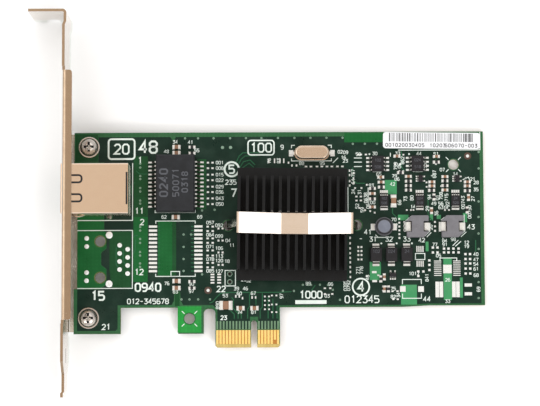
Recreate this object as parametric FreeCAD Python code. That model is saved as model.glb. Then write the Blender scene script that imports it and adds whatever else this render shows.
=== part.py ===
import FreeCAD, Part
import math
import os

# A single-port network interface card for an edge-connector slot, in millimetres.
# Origin: centre line of the key slot, at the lower edge of the contact tab, on the component face.
# +X runs along the board away from the slot bracket, +Y from the tab up the board, and +Z off the
# component face. The board is below Z = 0, and the card lies component side up.

Vec = FreeCAD.Vector
os.makedirs("parts", exist_ok=True)

# ---------------------------------------------------------------- driving dimensions
# board and its contact tab
board_thickness = 1.57
contact_pitch = 1.0
contact_width = 0.7
contact_length = 4.35
contact_bevel = 1.08            # bare bevelled strip below the contacts
contact_plating = 0.05
contacts_left = 11
contacts_right = 7
key_to_contact = 1.5            # key centre line to the nearest contact's centre
tab_side_margin = 0.6           # last contact's centre to the tab's side
tab_corner = 0.6
key_width = 1.9
key_depth = 8.4
tab_height = 12.52              # tab's lower edge to the board's lower edge
arm_drop = 8.18                 # how far the two lower arms reach below the board's lower edge
latch_arm_gap = 3.64            # open slot between the tab and the small arm
latch_arm_width = 8.02
arm_span = 17.96                # opening between the small arm and the bracket arm
latch_hole_radius = 1.65
latch_hole_rise = 4.7           # its centre above the arm's lower edge
latch_hole_shift = 0.45         # and to the left of the arm's middle
edge_step_height = 0.43         # the lower edge's free end is set back by this
edge_step_width = 17.3
edge_step_run = 8.1
slot_end_drop = 0.4             # round end of the slot beside the tab, below the board's lower edge
short_contact_cut = 1.3         # the last but one contact starts this much higher

# slot bracket, one folded sheet
bracket_to_key = 59.05          # bracket's outer face to the key centre line
bracket_sheet = 0.86
bracket_width = 18.42
bracket_near_z = 14.35          # edge on the component side
bracket_height = 120.02
bracket_drop = 15.28            # tongue tip below the tab's lower edge
bend_radius = 0.4
flange_depth = 11.43
flange_notch_width = 4.42
flange_notch_depth = 4.3
flange_notch_inset = 4.95       # plate's outer face to the notch's centre
flange_corner = 2.0
joggle_offset = 0.45
joggle_height = 1.2
joggle_below_top = 5.0
tongue_width = 10.19
tongue_length = 7.0
tongue_taper = 4.0
tongue_tip_height = 1.3
tongue_tip_offset = 0.4
lip_reach = 3.15                # outer face to the lip's edge
lip_low = 8.45
lip_high = 85.6
lip_relief = 1.2
lip_corner = 0.9
slot_length = 4.5               # small slot in the plate's lower part
slot_width = 0.9
slot_below_tab = 0.2
slot_z = 6.2
plate_to_board = 1.74           # inner face to the board's edge
strip_reach = 3.3               # mounting strip from the inner face, under the board
ear_reach = 10.3
ear_half_width = 4.3
collar_height = 1.2
collar_wall = 0.85

# bracket screws
screw_radius = 1.5
screw_length = 3.9
screw_rim_radius = 3.3
screw_rim_height = 0.45
screw_dome_radius = 2.65
screw_head_height = 2.2
screw_recess_width = 0.8
screw_recess_length = 3.2
screw_recess_depth = 1.3
screw_top_edge = 4.62           # upper screw's centre to the board's top edge
screw_low_edge = 4.97           # lower screw's centre to the bracket arm's lower edge
screw_inset = 4.66              # screw centre to the board's left edge
screw_hole_clearance = 0.25
thread_clearance = 0.03

# network socket
socket_length = 20.76
socket_width = 15.55
socket_height = 13.3
socket_wall = 0.25
socket_proud = 0.3              # how far it stands out of the bracket
socket_below_edge = 18.84       # its centre line below the board's top edge
socket_fit = 0.05
window_clearance = 0.2
port_width = 11.9
port_low = 4.9
port_high = 11.55
port_depth = 12.8
latch_width = 6.2
latch_low = 2.2
lamp_width = 3.1
lamp_height = 2.7
lamp_low = 1.2
lamp_side_gap = 0.6             # lamp to the shield's inner face
lamp_length = 6.6
lamp_pin_spacing = 2.55
lamp_pin_inset = 6.88           # from the socket's front
pin_width = 0.5
pin_below_board = 0.85
peg_radius = 1.55
peg_spacing = 11.43
peg_inset = 11.12
peg_clearance = 0.08
leg_inset = 13.94
leg_width = 1.2
contact_row_front = 17.23
contact_row_spacing = 2.52
contact_step = 1.27
contact_wire = 0.36
contact_nose = 3.6              # its turn back into the port, from the socket's front
contact_heel = 1.4
contact_spring_run = 6.2
contact_spring_drop = 2.35
finger_start = 0.8              # bowed grounding finger on each side, from the bracket's inner face
finger_run = 5.0
finger_ramp = 2.0
finger_flat = 1.2
finger_bow = 0.55
finger_low = 4.6
finger_width = 3.0
spring_tab_offset = 2.95
spring_tab_width = 2.6
spring_tab_length = 6.65
spring_slot = 0.35
spring_tab_corner = 1.1
spring_tab_root = 1.2           # tab's root from the socket's front
rear_slot_length = 10.0         # narrow slot along the shield's rear edge
rear_slot_width = 0.45
recess_depth = 1.0              # shallow recess of the board's edge between the two sockets
recess_below_spare = 9.25
recess_under_socket = 0.15
pin_hole = 0.45                 # radii of the plated holes
leg_hole = 0.85
spare_socket_drop = 21.16       # the unfitted second socket's centre line below the first

# isolation transformer
transformer_gap = 5.65          # socket's rear to the lead tips
transformer_width = 12.1
transformer_length = 17.8
transformer_height = 5.9
transformer_standoff = 0.3
transformer_rise = 2.37         # its centre line above the socket's
transformer_lead_count = 12     # on each side
transformer_reach = 2.45
transformer_lead_exit = 1.5     # height at which its leads leave the body
transformer_lead_foot = 1.1
lead_pitch = 1.27
lead_width = 0.5
lead_sheet = 0.25

# heat sink and what it cools
sink_gap = 10.91                # transformer lead tips to the heat sink's seat
sink_low_gap = 8.08             # board's lower edge to the heat sink
sink_width = 34.35
sink_length = 35.2
sink_base = 2.0
sink_fins = 14
sink_fin_inset = 0.23           # base's side to the outermost fin
sink_fin_thickness = 0.8
sink_fin_end_gap = 3.2
sink_top = 11.0
sink_channel_low = 6.9          # floor of the channel that the clip lies in
sink_slip = -0.12               # how far off its seat it was set, along X, and its turn in degrees
sink_turn = -0.72
ball_height = 0.5
ball_radius = 0.38
ball_pitch = 1.27
ball_rows = 14
ball_ring = 3
package_size = 21.0
package_substrate = 0.55
package_mould_inset = 1.2
package_mould_height = 1.15
pad_size = 19.0
pad_thickness = 0.3
clip_width = 6.5
clip_sheet = 0.6
clip_channel_gap = 0.3
clip_shift = 0.78               # its middle from the heat sink's, along X
clip_span = 35.9
clip_flat = 8.4                 # the flat middle that presses on the fins
clip_rise = 3.6                 # how far its two arms rise from there
clip_skirt = 1.4                # short downturned ends
clip_knee = 0.8                 # height at which the hooks turn down into their holes
clip_hook_width = 2.3
clip_hook_grip = 0.5            # how far the hook's tip reaches under the board
clip_hook_gap = 0.1
clip_hole_radius = 1.65
jumper_gap = 2.54               # heat sink side to the two-hole jumper
jumper_rise = 2.4               # upper hole above the heat sink's lower side
jumper_pitch = 2.5
clip_hole_gap = 3.05            # heat sink side to the hole's centre

# crystal
crystal_gap = 2.85
crystal_offset = 6.19           # its centre from the heat sink's, along X
crystal_length = 11.05
crystal_width = 4.65
crystal_height = 3.5
crystal_rim = 0.2               # rim past the can
crystal_rim_thickness = 0.35
crystal_can_round = 0.6
crystal_base_height = 0.5
crystal_lead_reach = 1.6
crystal_lead_width = 1.0
crystal_lead_sheet = 0.25

# power-supply field at the free end
field_gap = 1.81                # heat sink to the field's left side, from which the insets run
memory_inset = 7.93             # insets are to a piece's centre, but the label's is to its side
memory_rise = 19.27             # rises and drops are from the heat sink's centre line
label_inset = 9.67
switch_rise = 7.57
switch_inset = 9.83
coil_drop = 0.62
round_coil_inset = 9.7
square_coil_inset = 20.16
diode_inset = 7.14
diode_drop = 9.37
tall_capacitor_inset = 12.81
label_length = 30.6
label_height = 5.15
label_turn = -0.8               # degrees, as stuck on by hand
label_thickness = 0.1
label_corner = 0.9
label_gap = 2.34
label_side_margin = 0.91
label_top_margin = 0.285
memory_width = 3.8
memory_length = 4.9
memory_height = 1.6
memory_reach = 1.1
memory_lead_exit = 0.8
memory_lead_foot = 0.5
memory_lead_width = 0.42
memory_lead_count = 4           # on each side
memory_spacing = 12.5
switch_width = 2.7
switch_length = 3.3
switch_height = 1.1
switch_spacing = 11.23
switch_pin_width = 0.42
switch_pin_pitch = 0.65
switch_pin_count = 4
switch_reach = 1.5
switch_pin_exit = 0.55          # height at which the pins leave the body
switch_foot = 0.8
switch_sheet = 0.2
switch_tab_reach = 0.95         # broad tab opposite the pins
switch_tab_exit = 0.45
switch_tab_foot = 0.5
switch_tab_width = 2.2
round_coil_radius = 2.87
round_coil_height = 2.8
round_coil_standoff = 0.2
round_coil_wall = 0.27          # its cup's wall, which stays below the drum
round_coil_wall_drop = 0.25
round_coil_drum_radius = 2.13
round_coil_groove_low = 1.7
round_coil_terminal_reach = 3.75
round_coil_terminal_width = 1.9
square_coil_size = 6.8
square_coil_height = 3.0
square_coil_standoff = 0.15
square_coil_notch = 3.3
square_coil_notch_depth = 1.55
square_coil_large_cut = 1.5     # the two corners beside the terminals' ends
square_coil_small_cut = 0.25
square_coil_bevel = 0.1
square_coil_terminal_gap = 0.35
square_coil_terminal_height = 1.9
square_coil_terminal_past = 0.1
square_coil_terminal_lengths = (2.8, 2.3)
square_coil_foot = 0.8          # terminal's foot under the body
square_coil_spacing = 10.96
diode_width = 3.6
diode_length = 4.3
diode_height = 2.2
diode_lead_width = 2.1
diode_reach = 1.3
diode_lead_exit = 1.0
diode_lead_foot = 0.8
diode_lead_sheet = 0.22
diode_spacing = 4.82
chip_small = (1.6, 0.8, 0.75)   # length, width and height of the small chip parts
chip_medium = (2.0, 1.25, 1.1)
chip_large = (3.2, 1.6, 1.5)
chip_bulk = (3.3, 2.6, 1.8)
chip_end = 0.22                 # end cap's share of the chip's length
small_ic = (1.3, 2.1, 0.95)     # width across the pins, length and height
small_ic_reach = 0.5
small_ic_exit = 0.42
small_ic_foot = 0.3
small_ic_sheet = 0.14
small_ic_pin_width = 0.34
small_ic_pitch = 0.7
small_lead_sheet = 0.2
corner_hole_inset = (9.42, 10.48)
solder_radius = 0.75
solder_height = 0.55

# ---------------------------------------------------------------- positions worked out from them
plate_outer = -bracket_to_key
plate_inner = plate_outer + bracket_sheet
bracket_far_z = bracket_near_z - bracket_width
bracket_bottom = -bracket_drop
bracket_top = bracket_bottom + bracket_height
board_back = -board_thickness
board_left = plate_inner + plate_to_board
tab_left = -(key_to_contact + (contacts_left - 1) * contact_pitch + tab_side_margin)
tab_right = key_to_contact + (contacts_right - 1) * contact_pitch + tab_side_margin
arm_low = tab_height - arm_drop
latch_arm_right = tab_left - latch_arm_gap
latch_arm_left = latch_arm_right - latch_arm_width
latch_hole = (latch_arm_right - latch_arm_width / 2 - latch_hole_shift, arm_low + latch_hole_rise)
bracket_arm_right = latch_arm_left - arm_span

socket_front = plate_outer - socket_proud
socket_rear = socket_front + socket_length
transformer_tip = socket_rear + transformer_gap
transformer_x = transformer_tip + transformer_reach + transformer_width / 2
sink_left = transformer_x + transformer_width / 2 + transformer_reach + sink_gap
sink_right = sink_left + sink_width
sink_x = (sink_left + sink_right) / 2
sink_low = tab_height + sink_low_gap
sink_y = sink_low + sink_length / 2
crystal_x = sink_x + crystal_offset
crystal_y = sink_low + sink_length + crystal_gap + crystal_width / 2

field_x = sink_right + field_gap
memory_y = sink_y + memory_rise
memory_x = field_x + memory_inset
label_x = field_x + label_inset
label_low = memory_y + memory_length / 2 + label_gap
board_right = label_x + label_length + label_side_margin
board_top = label_low + label_height + label_top_margin
corner_hole = (board_right - corner_hole_inset[0], board_top - corner_hole_inset[1])
screw_x = board_left + screw_inset
screw_ys = (board_top - screw_top_edge, arm_low + screw_low_edge)
socket_y = board_top - socket_below_edge
lamp_offset = socket_width / 2 - socket_wall - lamp_side_gap - lamp_width / 2
transformer_y = socket_y + transformer_rise
switch_y = sink_y + switch_rise
switch_xs = [field_x + switch_inset + i * switch_spacing for i in range(3)]
coil_y = sink_y - coil_drop
round_coil_x = field_x + round_coil_inset
square_coil_xs = [field_x + square_coil_inset + i * square_coil_spacing for i in range(2)]
diode_y = sink_y - diode_drop
diode_xs = [field_x + diode_inset + i * diode_spacing for i in range(3)]


# ---------------------------------------------------------------- shape helpers
def box(x0, x1, y0, y1, z0, z1):
    return Part.makeBox(x1 - x0, y1 - y0, z1 - z0, Vec(x0, y0, z0))


def block(x, y, z0, wide, deep, tall):
    """A box centred on x and y that stands on z0."""
    return box(x - wide / 2, x + wide / 2, y - deep / 2, y + deep / 2, z0, z0 + tall)


def post(x, y, z0, z1, radius):
    return Part.makeCylinder(radius, z1 - z0, Vec(x, y, z0))


def prism(points, direction):
    """The polygon through the points, drawn out along a direction."""
    corners = [Vec(*p) for p in points]
    return Part.Face(Part.makePolygon(corners + corners[:1])).extrude(Vec(*direction))


def merged(shapes):
    return shapes[0].multiFuse(shapes[1:]).removeSplitter() if len(shapes) > 1 else shapes[0]


def cut(shape, tools):
    return shape.cut(tools) if tools else shape


def edges_along(shape, axis):
    """The straight edges of a shape that run along one axis."""
    found = []
    for edge in shape.Edges:
        if edge.Curve.TypeId != "Part::GeomLine":
            continue
        span = edge.Vertexes[-1].Point - edge.Vertexes[0].Point
        if abs(abs(span.dot(axis)) - span.Length) < 1e-6:
            found.append(edge)
    return found


def rounded(x0, x1, y0, y1, z0, z1, radius):
    """A box with its four upright edges rounded."""
    solid = box(x0, x1, y0, y1, z0, z1)
    return solid.makeFillet(radius, edges_along(solid, Vec(0, 0, 1)))


def topped(solid, z, bevel):
    """The solid with the edges of its top face bevelled."""
    rim = [e for e in solid.Edges if all(abs(v.Z - z) < 1e-6 for v in e.Vertexes)]
    return solid.makeChamfer(bevel, rim)


def lead(side, x, y, exit_z, reach, foot, sheet, width):
    """A gull-wing lead that leaves a body's side at x and runs out along X."""
    knee = (reach - foot) * 0.45
    heel = reach - foot
    profile = [(0, exit_z + sheet / 2), (knee, exit_z + sheet / 2), (heel + sheet, sheet), (reach, sheet),
               (reach, 0), (heel, 0), (knee - sheet / 2, exit_z - sheet / 2), (0, exit_z - sheet / 2)]
    return prism([(x + side * px, y - width / 2, pz) for px, pz in profile], (0, width, 0))


def turned(shape, x, y):
    """A quarter turn about the upright line through x and y."""
    copy = shape.copy()
    copy.rotate(Vec(x, y, 0), Vec(0, 0, 1), 90)
    return copy


nodes = {}


def add(name, shapes):
    nodes.setdefault(name, []).extend(shapes if isinstance(shapes, list) else [shapes])


# ---------------------------------------------------------------- circuit board
def row_ys(count, pitch, centre):
    return [centre + (i - (count - 1) / 2) * pitch for i in range(count)]


def contact_pins(centre_y):
    """Places of the eight socket contacts, in two staggered rows."""
    front = socket_front + contact_row_front
    ys = row_ys(8, contact_step, centre_y)
    return [(front + (1 - i % 2) * contact_row_spacing, y) for i, y in enumerate(ys)]


def lamp_pins(centre_y):
    x = socket_front + lamp_pin_inset
    offsets = [s * lamp_offset + t * lamp_pin_spacing / 2 for s in (-1, 1) for t in (-1, 1)]
    return [(x, centre_y + d) for d in offsets]


def shield_legs(centre_y):
    return [(socket_front + leg_inset, centre_y + s * (socket_width - socket_wall) / 2) for s in (-1, 1)]


def board_pegs(centre_y):
    return [(socket_front + peg_inset, centre_y + s * peg_spacing / 2) for s in (-1, 1)]


spare_y = socket_y - spare_socket_drop
recess_low = spare_y - recess_below_spare
recess_high = socket_y - socket_width / 2 + recess_under_socket
clip_hole_xs = (sink_left - clip_hole_gap, sink_right + clip_hole_gap)
jumper_holes = [(sink_left - jumper_gap, sink_low + jumper_rise - i * jumper_pitch) for i in range(2)]


def circuit_board():
    slot_end = tab_height - slot_end_drop
    outline = [(board_left, arm_low), (bracket_arm_right, arm_low), (bracket_arm_right, tab_height),
               (latch_arm_left, tab_height), (latch_arm_left, arm_low), (latch_arm_right, arm_low),
               (latch_arm_right, slot_end), (tab_left, slot_end), (tab_left, tab_corner),
               (tab_left + tab_corner, 0), (tab_right - tab_corner, 0), (tab_right, tab_corner),
               (tab_right, tab_height), (board_right - edge_step_width - edge_step_run, tab_height),
               (board_right - edge_step_width, tab_height + edge_step_height),
               (board_right, tab_height + edge_step_height), (board_right, board_top),
               (board_left, board_top)]
    solid = prism([(x, y, board_back) for x, y in outline], (0, 0, board_thickness))
    inner = [e for e in edges_along(solid, Vec(0, 0, 1))
             if latch_arm_right - 0.1 < e.Vertexes[0].X < tab_left + 0.1 and e.Vertexes[0].Y > arm_low + 1]
    solid = solid.makeFillet(latch_arm_gap / 2 - 0.3, inner)
    key = box(-key_width / 2, key_width / 2, -1, key_depth - key_width / 2, board_back - 1, 1)
    holes = [key, post(0, key_depth - key_width / 2, board_back - 1, 1, key_width / 2),
             box(board_left - 1, board_left + recess_depth, recess_low, recess_high, board_back - 1, 1)]
    drilled = [(screw_x, y, screw_radius + screw_hole_clearance) for y in screw_ys]
    drilled += [(*latch_hole, latch_hole_radius), (*corner_hole, latch_hole_radius)]
    drilled += [(x, sink_y, clip_hole_radius) for x in clip_hole_xs]
    drilled += [(x, y, pin_hole) for x, y in jumper_holes]
    for centre in (socket_y, spare_y):
        drilled += [(x, y, pin_hole) for x, y in contact_pins(centre) + lamp_pins(centre)]
        drilled += [(x, y, leg_hole) for x, y in shield_legs(centre)]
        drilled += [(x, y, peg_radius + peg_clearance) for x, y in board_pegs(centre)]
    holes += [post(x, y, board_back - 1, 1, r) for x, y, r in drilled]
    # the tab's lower edge is bevelled on both faces
    bevel = board_thickness * 0.3
    for z, away in ((0, 1), (board_back, -1)):
        wedge = [(tab_left - 1, -0.1, z + away * 0.1), (tab_left - 1, -0.1, z - away * bevel),
                 (tab_left - 1, contact_bevel, z), (tab_left - 1, contact_bevel, z + away * 0.1)]
        holes.append(prism(wedge, (tab_right - tab_left + 2, 0, 0)))
    return cut(solid, holes)


def edge_contacts(z0, short_one):
    places = [(-1, i) for i in range(contacts_left)] + [(1, i) for i in range(contacts_right)]
    fingers = []
    for side, i in places:
        x = side * (key_to_contact + i * contact_pitch)
        low = contact_bevel + (short_contact_cut if side == 1 and i == short_one else 0)
        high = contact_bevel + contact_length
        fingers.append(box(x - contact_width / 2, x + contact_width / 2, low, high, z0, z0 + contact_plating))
    return fingers


add("circuit_board", circuit_board())
add("edge_contacts_front", edge_contacts(0, contacts_right - 2))
add("edge_contacts_back", edge_contacts(board_back - contact_plating, None))


# ---------------------------------------------------------------- slot bracket
def bracket():
    far, near = bracket_far_z, bracket_near_z
    top_outer, top_inner = plate_outer + joggle_offset, plate_inner + joggle_offset
    joggle_high = bracket_top - joggle_below_top + joggle_height
    joggle_low = joggle_high - joggle_height
    tip_high = bracket_bottom + tongue_tip_height
    bend_x, bend_y = top_outer - bend_radius, bracket_top - bracket_sheet - bend_radius
    outer_bend = bend_radius + bracket_sheet
    flange_end = plate_inner - flange_depth

    def arc_point(radius):
        return Vec(bend_x + radius * math.cos(math.pi / 4), bend_y + radius * math.sin(math.pi / 4), far)

    def line(points):
        corners = [Vec(x, y, far) for x, y in points]
        return [Part.makeLine(a, b) for a, b in zip(corners, corners[1:])]

    left = line([(flange_end, bracket_top - bracket_sheet), (bend_x, bracket_top - bracket_sheet)])
    left.append(Part.Arc(Vec(bend_x, bend_y + bend_radius, far), arc_point(bend_radius),
                         Vec(top_outer, bend_y, far)).toShape())
    left += line([(top_outer, bend_y), (top_outer, joggle_high), (plate_outer, joggle_low),
                  (plate_outer, tip_high + tongue_tip_offset), (plate_outer - tongue_tip_offset, tip_high),
                  (plate_outer - tongue_tip_offset, bracket_bottom),
                  (plate_inner - tongue_tip_offset, bracket_bottom), (plate_inner - tongue_tip_offset, tip_high),
                  (plate_inner, tip_high + tongue_tip_offset), (plate_inner, joggle_low),
                  (top_inner, joggle_high), (top_inner, bend_y)])
    left.append(Part.Arc(Vec(top_inner, bend_y, far), arc_point(outer_bend),
                         Vec(bend_x, bracket_top, far)).toShape())
    left += line([(bend_x, bracket_top), (flange_end, bracket_top), (flange_end, bracket_top - bracket_sheet)])
    sheet = Part.Face(Part.Wire(left)).extrude(Vec(0, 0, bracket_width))

    # side cuts that leave the tapered tongue
    middle = (far + near) / 2
    taper_high = bracket_bottom + tongue_length + tongue_taper
    taper_low = bracket_bottom + tongue_length
    cuts = []
    for side, edge in ((-1, far), (1, near)):
        inner = middle + side * tongue_width / 2
        over = edge + side
        points = [(edge, taper_high), (inner, taper_low), (inner, bracket_bottom - 1), (over, bracket_bottom - 1),
                  (over, taper_high)]
        cuts.append(prism([(plate_outer - 2, y, z) for z, y in points], (bracket_sheet + 4, 0, 0)))
    # screw notch and rounded corner of the top flange
    notch_x = top_outer - flange_notch_inset
    notch_z = far + flange_notch_depth - flange_notch_width / 2
    below, above = bracket_top - bracket_sheet - 1, bracket_top + 1
    half = flange_notch_width / 2
    cuts.append(box(notch_x - half, notch_x + half, below, above, far - 1, notch_z))
    cuts.append(Part.makeCylinder(half, above - below, Vec(notch_x, below, notch_z), Vec(0, 1, 0)))
    corner = box(flange_end - 1, flange_end + flange_corner, below, above, far - 1, far + flange_corner)
    round_off = Part.makeCylinder(flange_corner, above - below,
                                  Vec(flange_end + flange_corner, below, far + flange_corner), Vec(0, 1, 0))
    cuts.append(corner.cut(round_off))
    # small slot in the plate's lower part
    cuts.append(box(plate_outer - 1, plate_inner + 1, -slot_below_tab - slot_length, -slot_below_tab,
                    slot_z - slot_width / 2, slot_z + slot_width / 2))
    # the plate gives its edges to the two bent strips
    strip_low, strip_high = screw_ys[1] - ear_half_width, screw_ys[0] + ear_half_width
    near_bend, far_bend = near - outer_bend, board_back + bend_radius
    cuts.append(box(plate_outer - 1, plate_inner + 1, lip_low - lip_relief, lip_high + lip_relief, near_bend,
                    near + 1))
    cuts.append(box(plate_outer - 1, plate_inner + 1, strip_low - lip_relief, strip_high + lip_relief, far - 1,
                    far_bend))
    sheet = cut(sheet, cuts)

    def bend(y0, y1, z, quadrant):
        centre = Vec(plate_inner + bend_radius, y0, z)
        ring = Part.makeCylinder(outer_bend, y1 - y0, centre, Vec(0, 1, 0))
        ring = ring.cut(Part.makeCylinder(bend_radius, y1 - y0, centre, Vec(0, 1, 0)))
        corner_box = box(plate_outer - 1, plate_inner + bend_radius, y0, y1, min(z, z + quadrant * 3),
                         max(z, z + quadrant * 3))
        return ring.common(corner_box)

    leaf = box(plate_inner + bend_radius, plate_outer + lip_reach, lip_low, lip_high, near - bracket_sheet, near)
    lip = [bend(lip_low, lip_high, near_bend, 1),
           leaf.makeFillet(lip_corner, [e for e in edges_along(leaf, Vec(0, 0, 1))
                                        if e.Vertexes[0].X > plate_outer + lip_reach - 0.01])]
    under = board_back - bracket_sheet
    strip = [bend(strip_low, strip_high, far_bend, -1),
             box(plate_inner + bend_radius, plate_inner + strip_reach, strip_low, strip_high, under, board_back)]
    for y in screw_ys:
        ear = rounded(plate_inner + 1, plate_inner + ear_reach, y - ear_half_width, y + ear_half_width, under,
                      board_back, 1.0)
        strip += [ear, post(screw_x, y, under - collar_height, under, screw_radius + collar_wall)]
    solid = merged([sheet] + lip + strip)
    threads = [post(screw_x, y, bracket_far_z - 2, 1, screw_radius + thread_clearance) for y in screw_ys]
    solid = cut(solid, threads)
    # window for the socket
    half = socket_width / 2 + window_clearance
    window = box(plate_outer - 1, plate_inner + bend_radius, socket_y - half, socket_y + half, -0.1,
                 socket_height + 0.1)
    return cut(solid, [window])


add("bracket", bracket())


def bracket_screw(y):
    head = [(0, 0), (screw_rim_radius, 0), (screw_rim_radius, screw_rim_height - 0.12),
            (screw_rim_radius - 0.15, screw_rim_height), (screw_dome_radius, screw_rim_height),
            (screw_dome_radius, screw_rim_height + 0.5)]
    corners = [Vec(screw_x + r, y, z) for r, z in head]
    edges = [Part.makeLine(a, b) for a, b in zip(corners, corners[1:])]
    crown = Vec(screw_x, y, screw_head_height)
    shoulder = Vec(screw_x + screw_dome_radius * 0.72, y, screw_head_height - 0.32)
    edges.append(Part.Arc(corners[-1], shoulder, crown).toShape())
    edges.append(Part.makeLine(crown, corners[0]))
    solid = Part.Face(Part.Wire(edges)).revolve(Vec(screw_x, y, 0), Vec(0, 0, 1), 360)
    solid = merged([solid, post(screw_x, y, -screw_length, 0.1, screw_radius)])
    low = screw_head_height - screw_recess_depth
    slots = [block(screw_x, y, low, a, b, screw_recess_depth + 1)
             for a, b in ((screw_recess_width, screw_recess_length), (screw_recess_length, screw_recess_width))]
    return cut(solid, slots)


add("bracket_screws", [bracket_screw(y) for y in screw_ys])


# ---------------------------------------------------------------- network socket
def socket_shield():
    half = socket_width / 2
    low = 0.1
    outer = box(socket_front, socket_rear, socket_y - half, socket_y + half, low, socket_height)
    outer = outer.makeFillet(0.35, [e for e in edges_along(outer, Vec(1, 0, 0)) if e.Vertexes[0].Z > low + 1])
    inner = box(socket_front - 1, socket_rear - socket_wall, socket_y - half + socket_wall,
                socket_y + half - socket_wall, low - 1, socket_height - socket_wall)
    shell = outer.cut(inner)
    slot_low = socket_height - socket_wall - 0.1

    def tongue(x0, x1, y, edge, corner):
        solid = box(x0, x1, y - edge, y + edge, slot_low, socket_height + 1)
        return solid.makeFillet(corner, [e for e in edges_along(solid, Vec(0, 0, 1)) if e.Vertexes[0].X > x1 - 0.01])

    cuts = []
    for side in (-1, 1):
        y = socket_y + side * spring_tab_offset
        root, tip = socket_front + spring_tab_root, socket_front + spring_tab_length
        edge, inner = spring_tab_width / 2, spring_tab_width / 2 - spring_slot
        slot = tongue(root, tip, y, edge, spring_tab_corner)
        cuts.append(slot.cut(tongue(root - 1, tip - spring_slot, y, inner, spring_tab_corner - spring_slot)))
    rear = socket_rear - socket_wall
    cuts.append(box(rear - rear_slot_width, rear, socket_y - rear_slot_length / 2, socket_y + rear_slot_length / 2,
                    slot_low, socket_height + 1))
    shell = cut(shell, cuts)
    extra = []
    for x, y in shield_legs(socket_y):
        extra.append(box(x - leg_width / 2, x + leg_width / 2, y - socket_wall / 2, y + socket_wall / 2,
                         board_back - pin_below_board, 1.0))
    # bowed grounding fingers on the two sides
    for side in (-1, 1):
        wall = socket_y + side * half
        start = plate_inner + finger_start
        crest, back = start + finger_ramp, start + finger_ramp + finger_flat
        proud, under = wall + side * finger_bow, wall + side * (finger_bow - socket_wall)
        bow = [(start, wall), (crest, proud), (back, proud), (start + finger_run, wall),
               (start + finger_run - 2 * socket_wall, wall), (back, under), (crest, under),
               (start + 2 * socket_wall, wall)]
        extra.append(prism([(px, py, finger_low) for px, py in bow], (0, 0, finger_width)))
    return merged([shell] + extra)


def socket_housing():
    gap = socket_wall + socket_fit
    half = socket_width / 2 - gap
    x0, x1 = socket_front + 0.25, socket_rear - gap
    solid = box(x0, x1, socket_y - half, socket_y + half, 0, socket_height - gap)
    cuts = [box(x0 - 1, socket_front + port_depth, socket_y - port_width / 2, socket_y + port_width / 2, port_low,
                port_high),
            box(x0 - 1, socket_front + port_depth, socket_y - latch_width / 2, socket_y + latch_width / 2,
                latch_low, port_low + 0.1)]
    room = contact_wire / 2 + 0.07
    ceiling = port_high + contact_wire + 0.1
    for x, y in contact_pins(socket_y):
        cuts.append(box(x - room, x + room, y - room, y + room, -1, ceiling))
        cuts.append(box(socket_front + contact_nose - 0.2, x + room, y - room, y + room, port_high - 0.1, ceiling))
    for side in (-1, 1):
        y = socket_y + side * lamp_offset
        cuts.append(box(x0 - 1, socket_front + 0.25 + lamp_length + socket_fit, y - lamp_width / 2 - socket_fit,
                        y + lamp_width / 2 + socket_fit, lamp_low - socket_fit, lamp_low + lamp_height + socket_fit))
    for x, y in lamp_pins(socket_y):
        cuts.append(block(x, y, -1, pin_width + 0.14, pin_width + 0.14, lamp_low + 1))
    solid = cut(solid, cuts)
    pegs = [post(x, y, board_back - pin_below_board, 0.5, peg_radius) for x, y in board_pegs(socket_y)]
    return merged([solid] + pegs)


def socket_contact(x, y):
    """One contact: a board pin, a run over the port and a spring that leans back into it."""
    half = contact_wire / 2
    top = port_high + contact_wire + 0.05
    nose = socket_front + contact_nose
    pin_low = board_back - pin_below_board
    points = [(x + half, pin_low), (x + half, top), (nose, top), (nose, top - contact_wire),
              (nose + contact_spring_run, port_high - contact_spring_drop),
              (nose + contact_spring_run + contact_wire / 2, port_high - contact_spring_drop + contact_wire * 0.7),
              (nose + contact_heel, top - contact_wire),
              (x - half, top - contact_wire), (x - half, pin_low)]
    return prism([(px, y - half, pz) for px, pz in points], (0, contact_wire, 0))


def lamp(side):
    y = socket_y + side * lamp_offset
    x0 = socket_front + 0.25
    solid = box(x0, x0 + lamp_length, y - lamp_width / 2, y + lamp_width / 2, lamp_low, lamp_low + lamp_height)
    return solid.makeFillet(0.3, edges_along(solid, Vec(1, 0, 0)))


add("socket_shield", socket_shield())
add("socket_housing", socket_housing())
add("socket_contacts", [socket_contact(x, y) for x, y in contact_pins(socket_y)])
add("socket_lamps", [lamp(-1), lamp(1)])
add("socket_lamp_pins", [block(x, y, board_back - pin_below_board, pin_width, pin_width,
                               lamp_low + pin_below_board - board_back) for x, y in lamp_pins(socket_y)])


def solder_joint(x, y, bore):
    cone = Part.makeCone(bore.BoundBox.XLength / 2 + 0.12, solder_radius, solder_height,
                         Vec(x, y, board_back - solder_height))
    return cone.cut(bore)


def solder_joints():
    pieces = []
    depth = board_back - pin_below_board
    for x, y in contact_pins(socket_y):
        pieces.append(solder_joint(x, y, block(x, y, depth, contact_wire, contact_wire, 3)))
    for x, y in lamp_pins(socket_y):
        pieces.append(solder_joint(x, y, block(x, y, depth, pin_width, pin_width, 3)))
    for x, y in shield_legs(socket_y):
        pieces.append(solder_joint(x, y, block(x, y, depth, leg_width, socket_wall, 3)))
    return pieces


add("solder_joints", solder_joints())


# ---------------------------------------------------------------- isolation transformer
def transformer_body():
    half_x, half_y = transformer_width / 2, transformer_length / 2
    solid = box(transformer_x - half_x, transformer_x + half_x, transformer_y - half_y, transformer_y + half_y,
                transformer_standoff, transformer_height)
    return topped(solid, transformer_height, 0.35)


def side_leads(centre_x, centre_y, width, count, exit_z, reach, foot, sheet, lead_wide, pitch):
    return [lead(side, centre_x + side * width / 2, y, exit_z, reach, foot, sheet, lead_wide)
            for side in (-1, 1) for y in row_ys(count, pitch, centre_y)]


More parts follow.
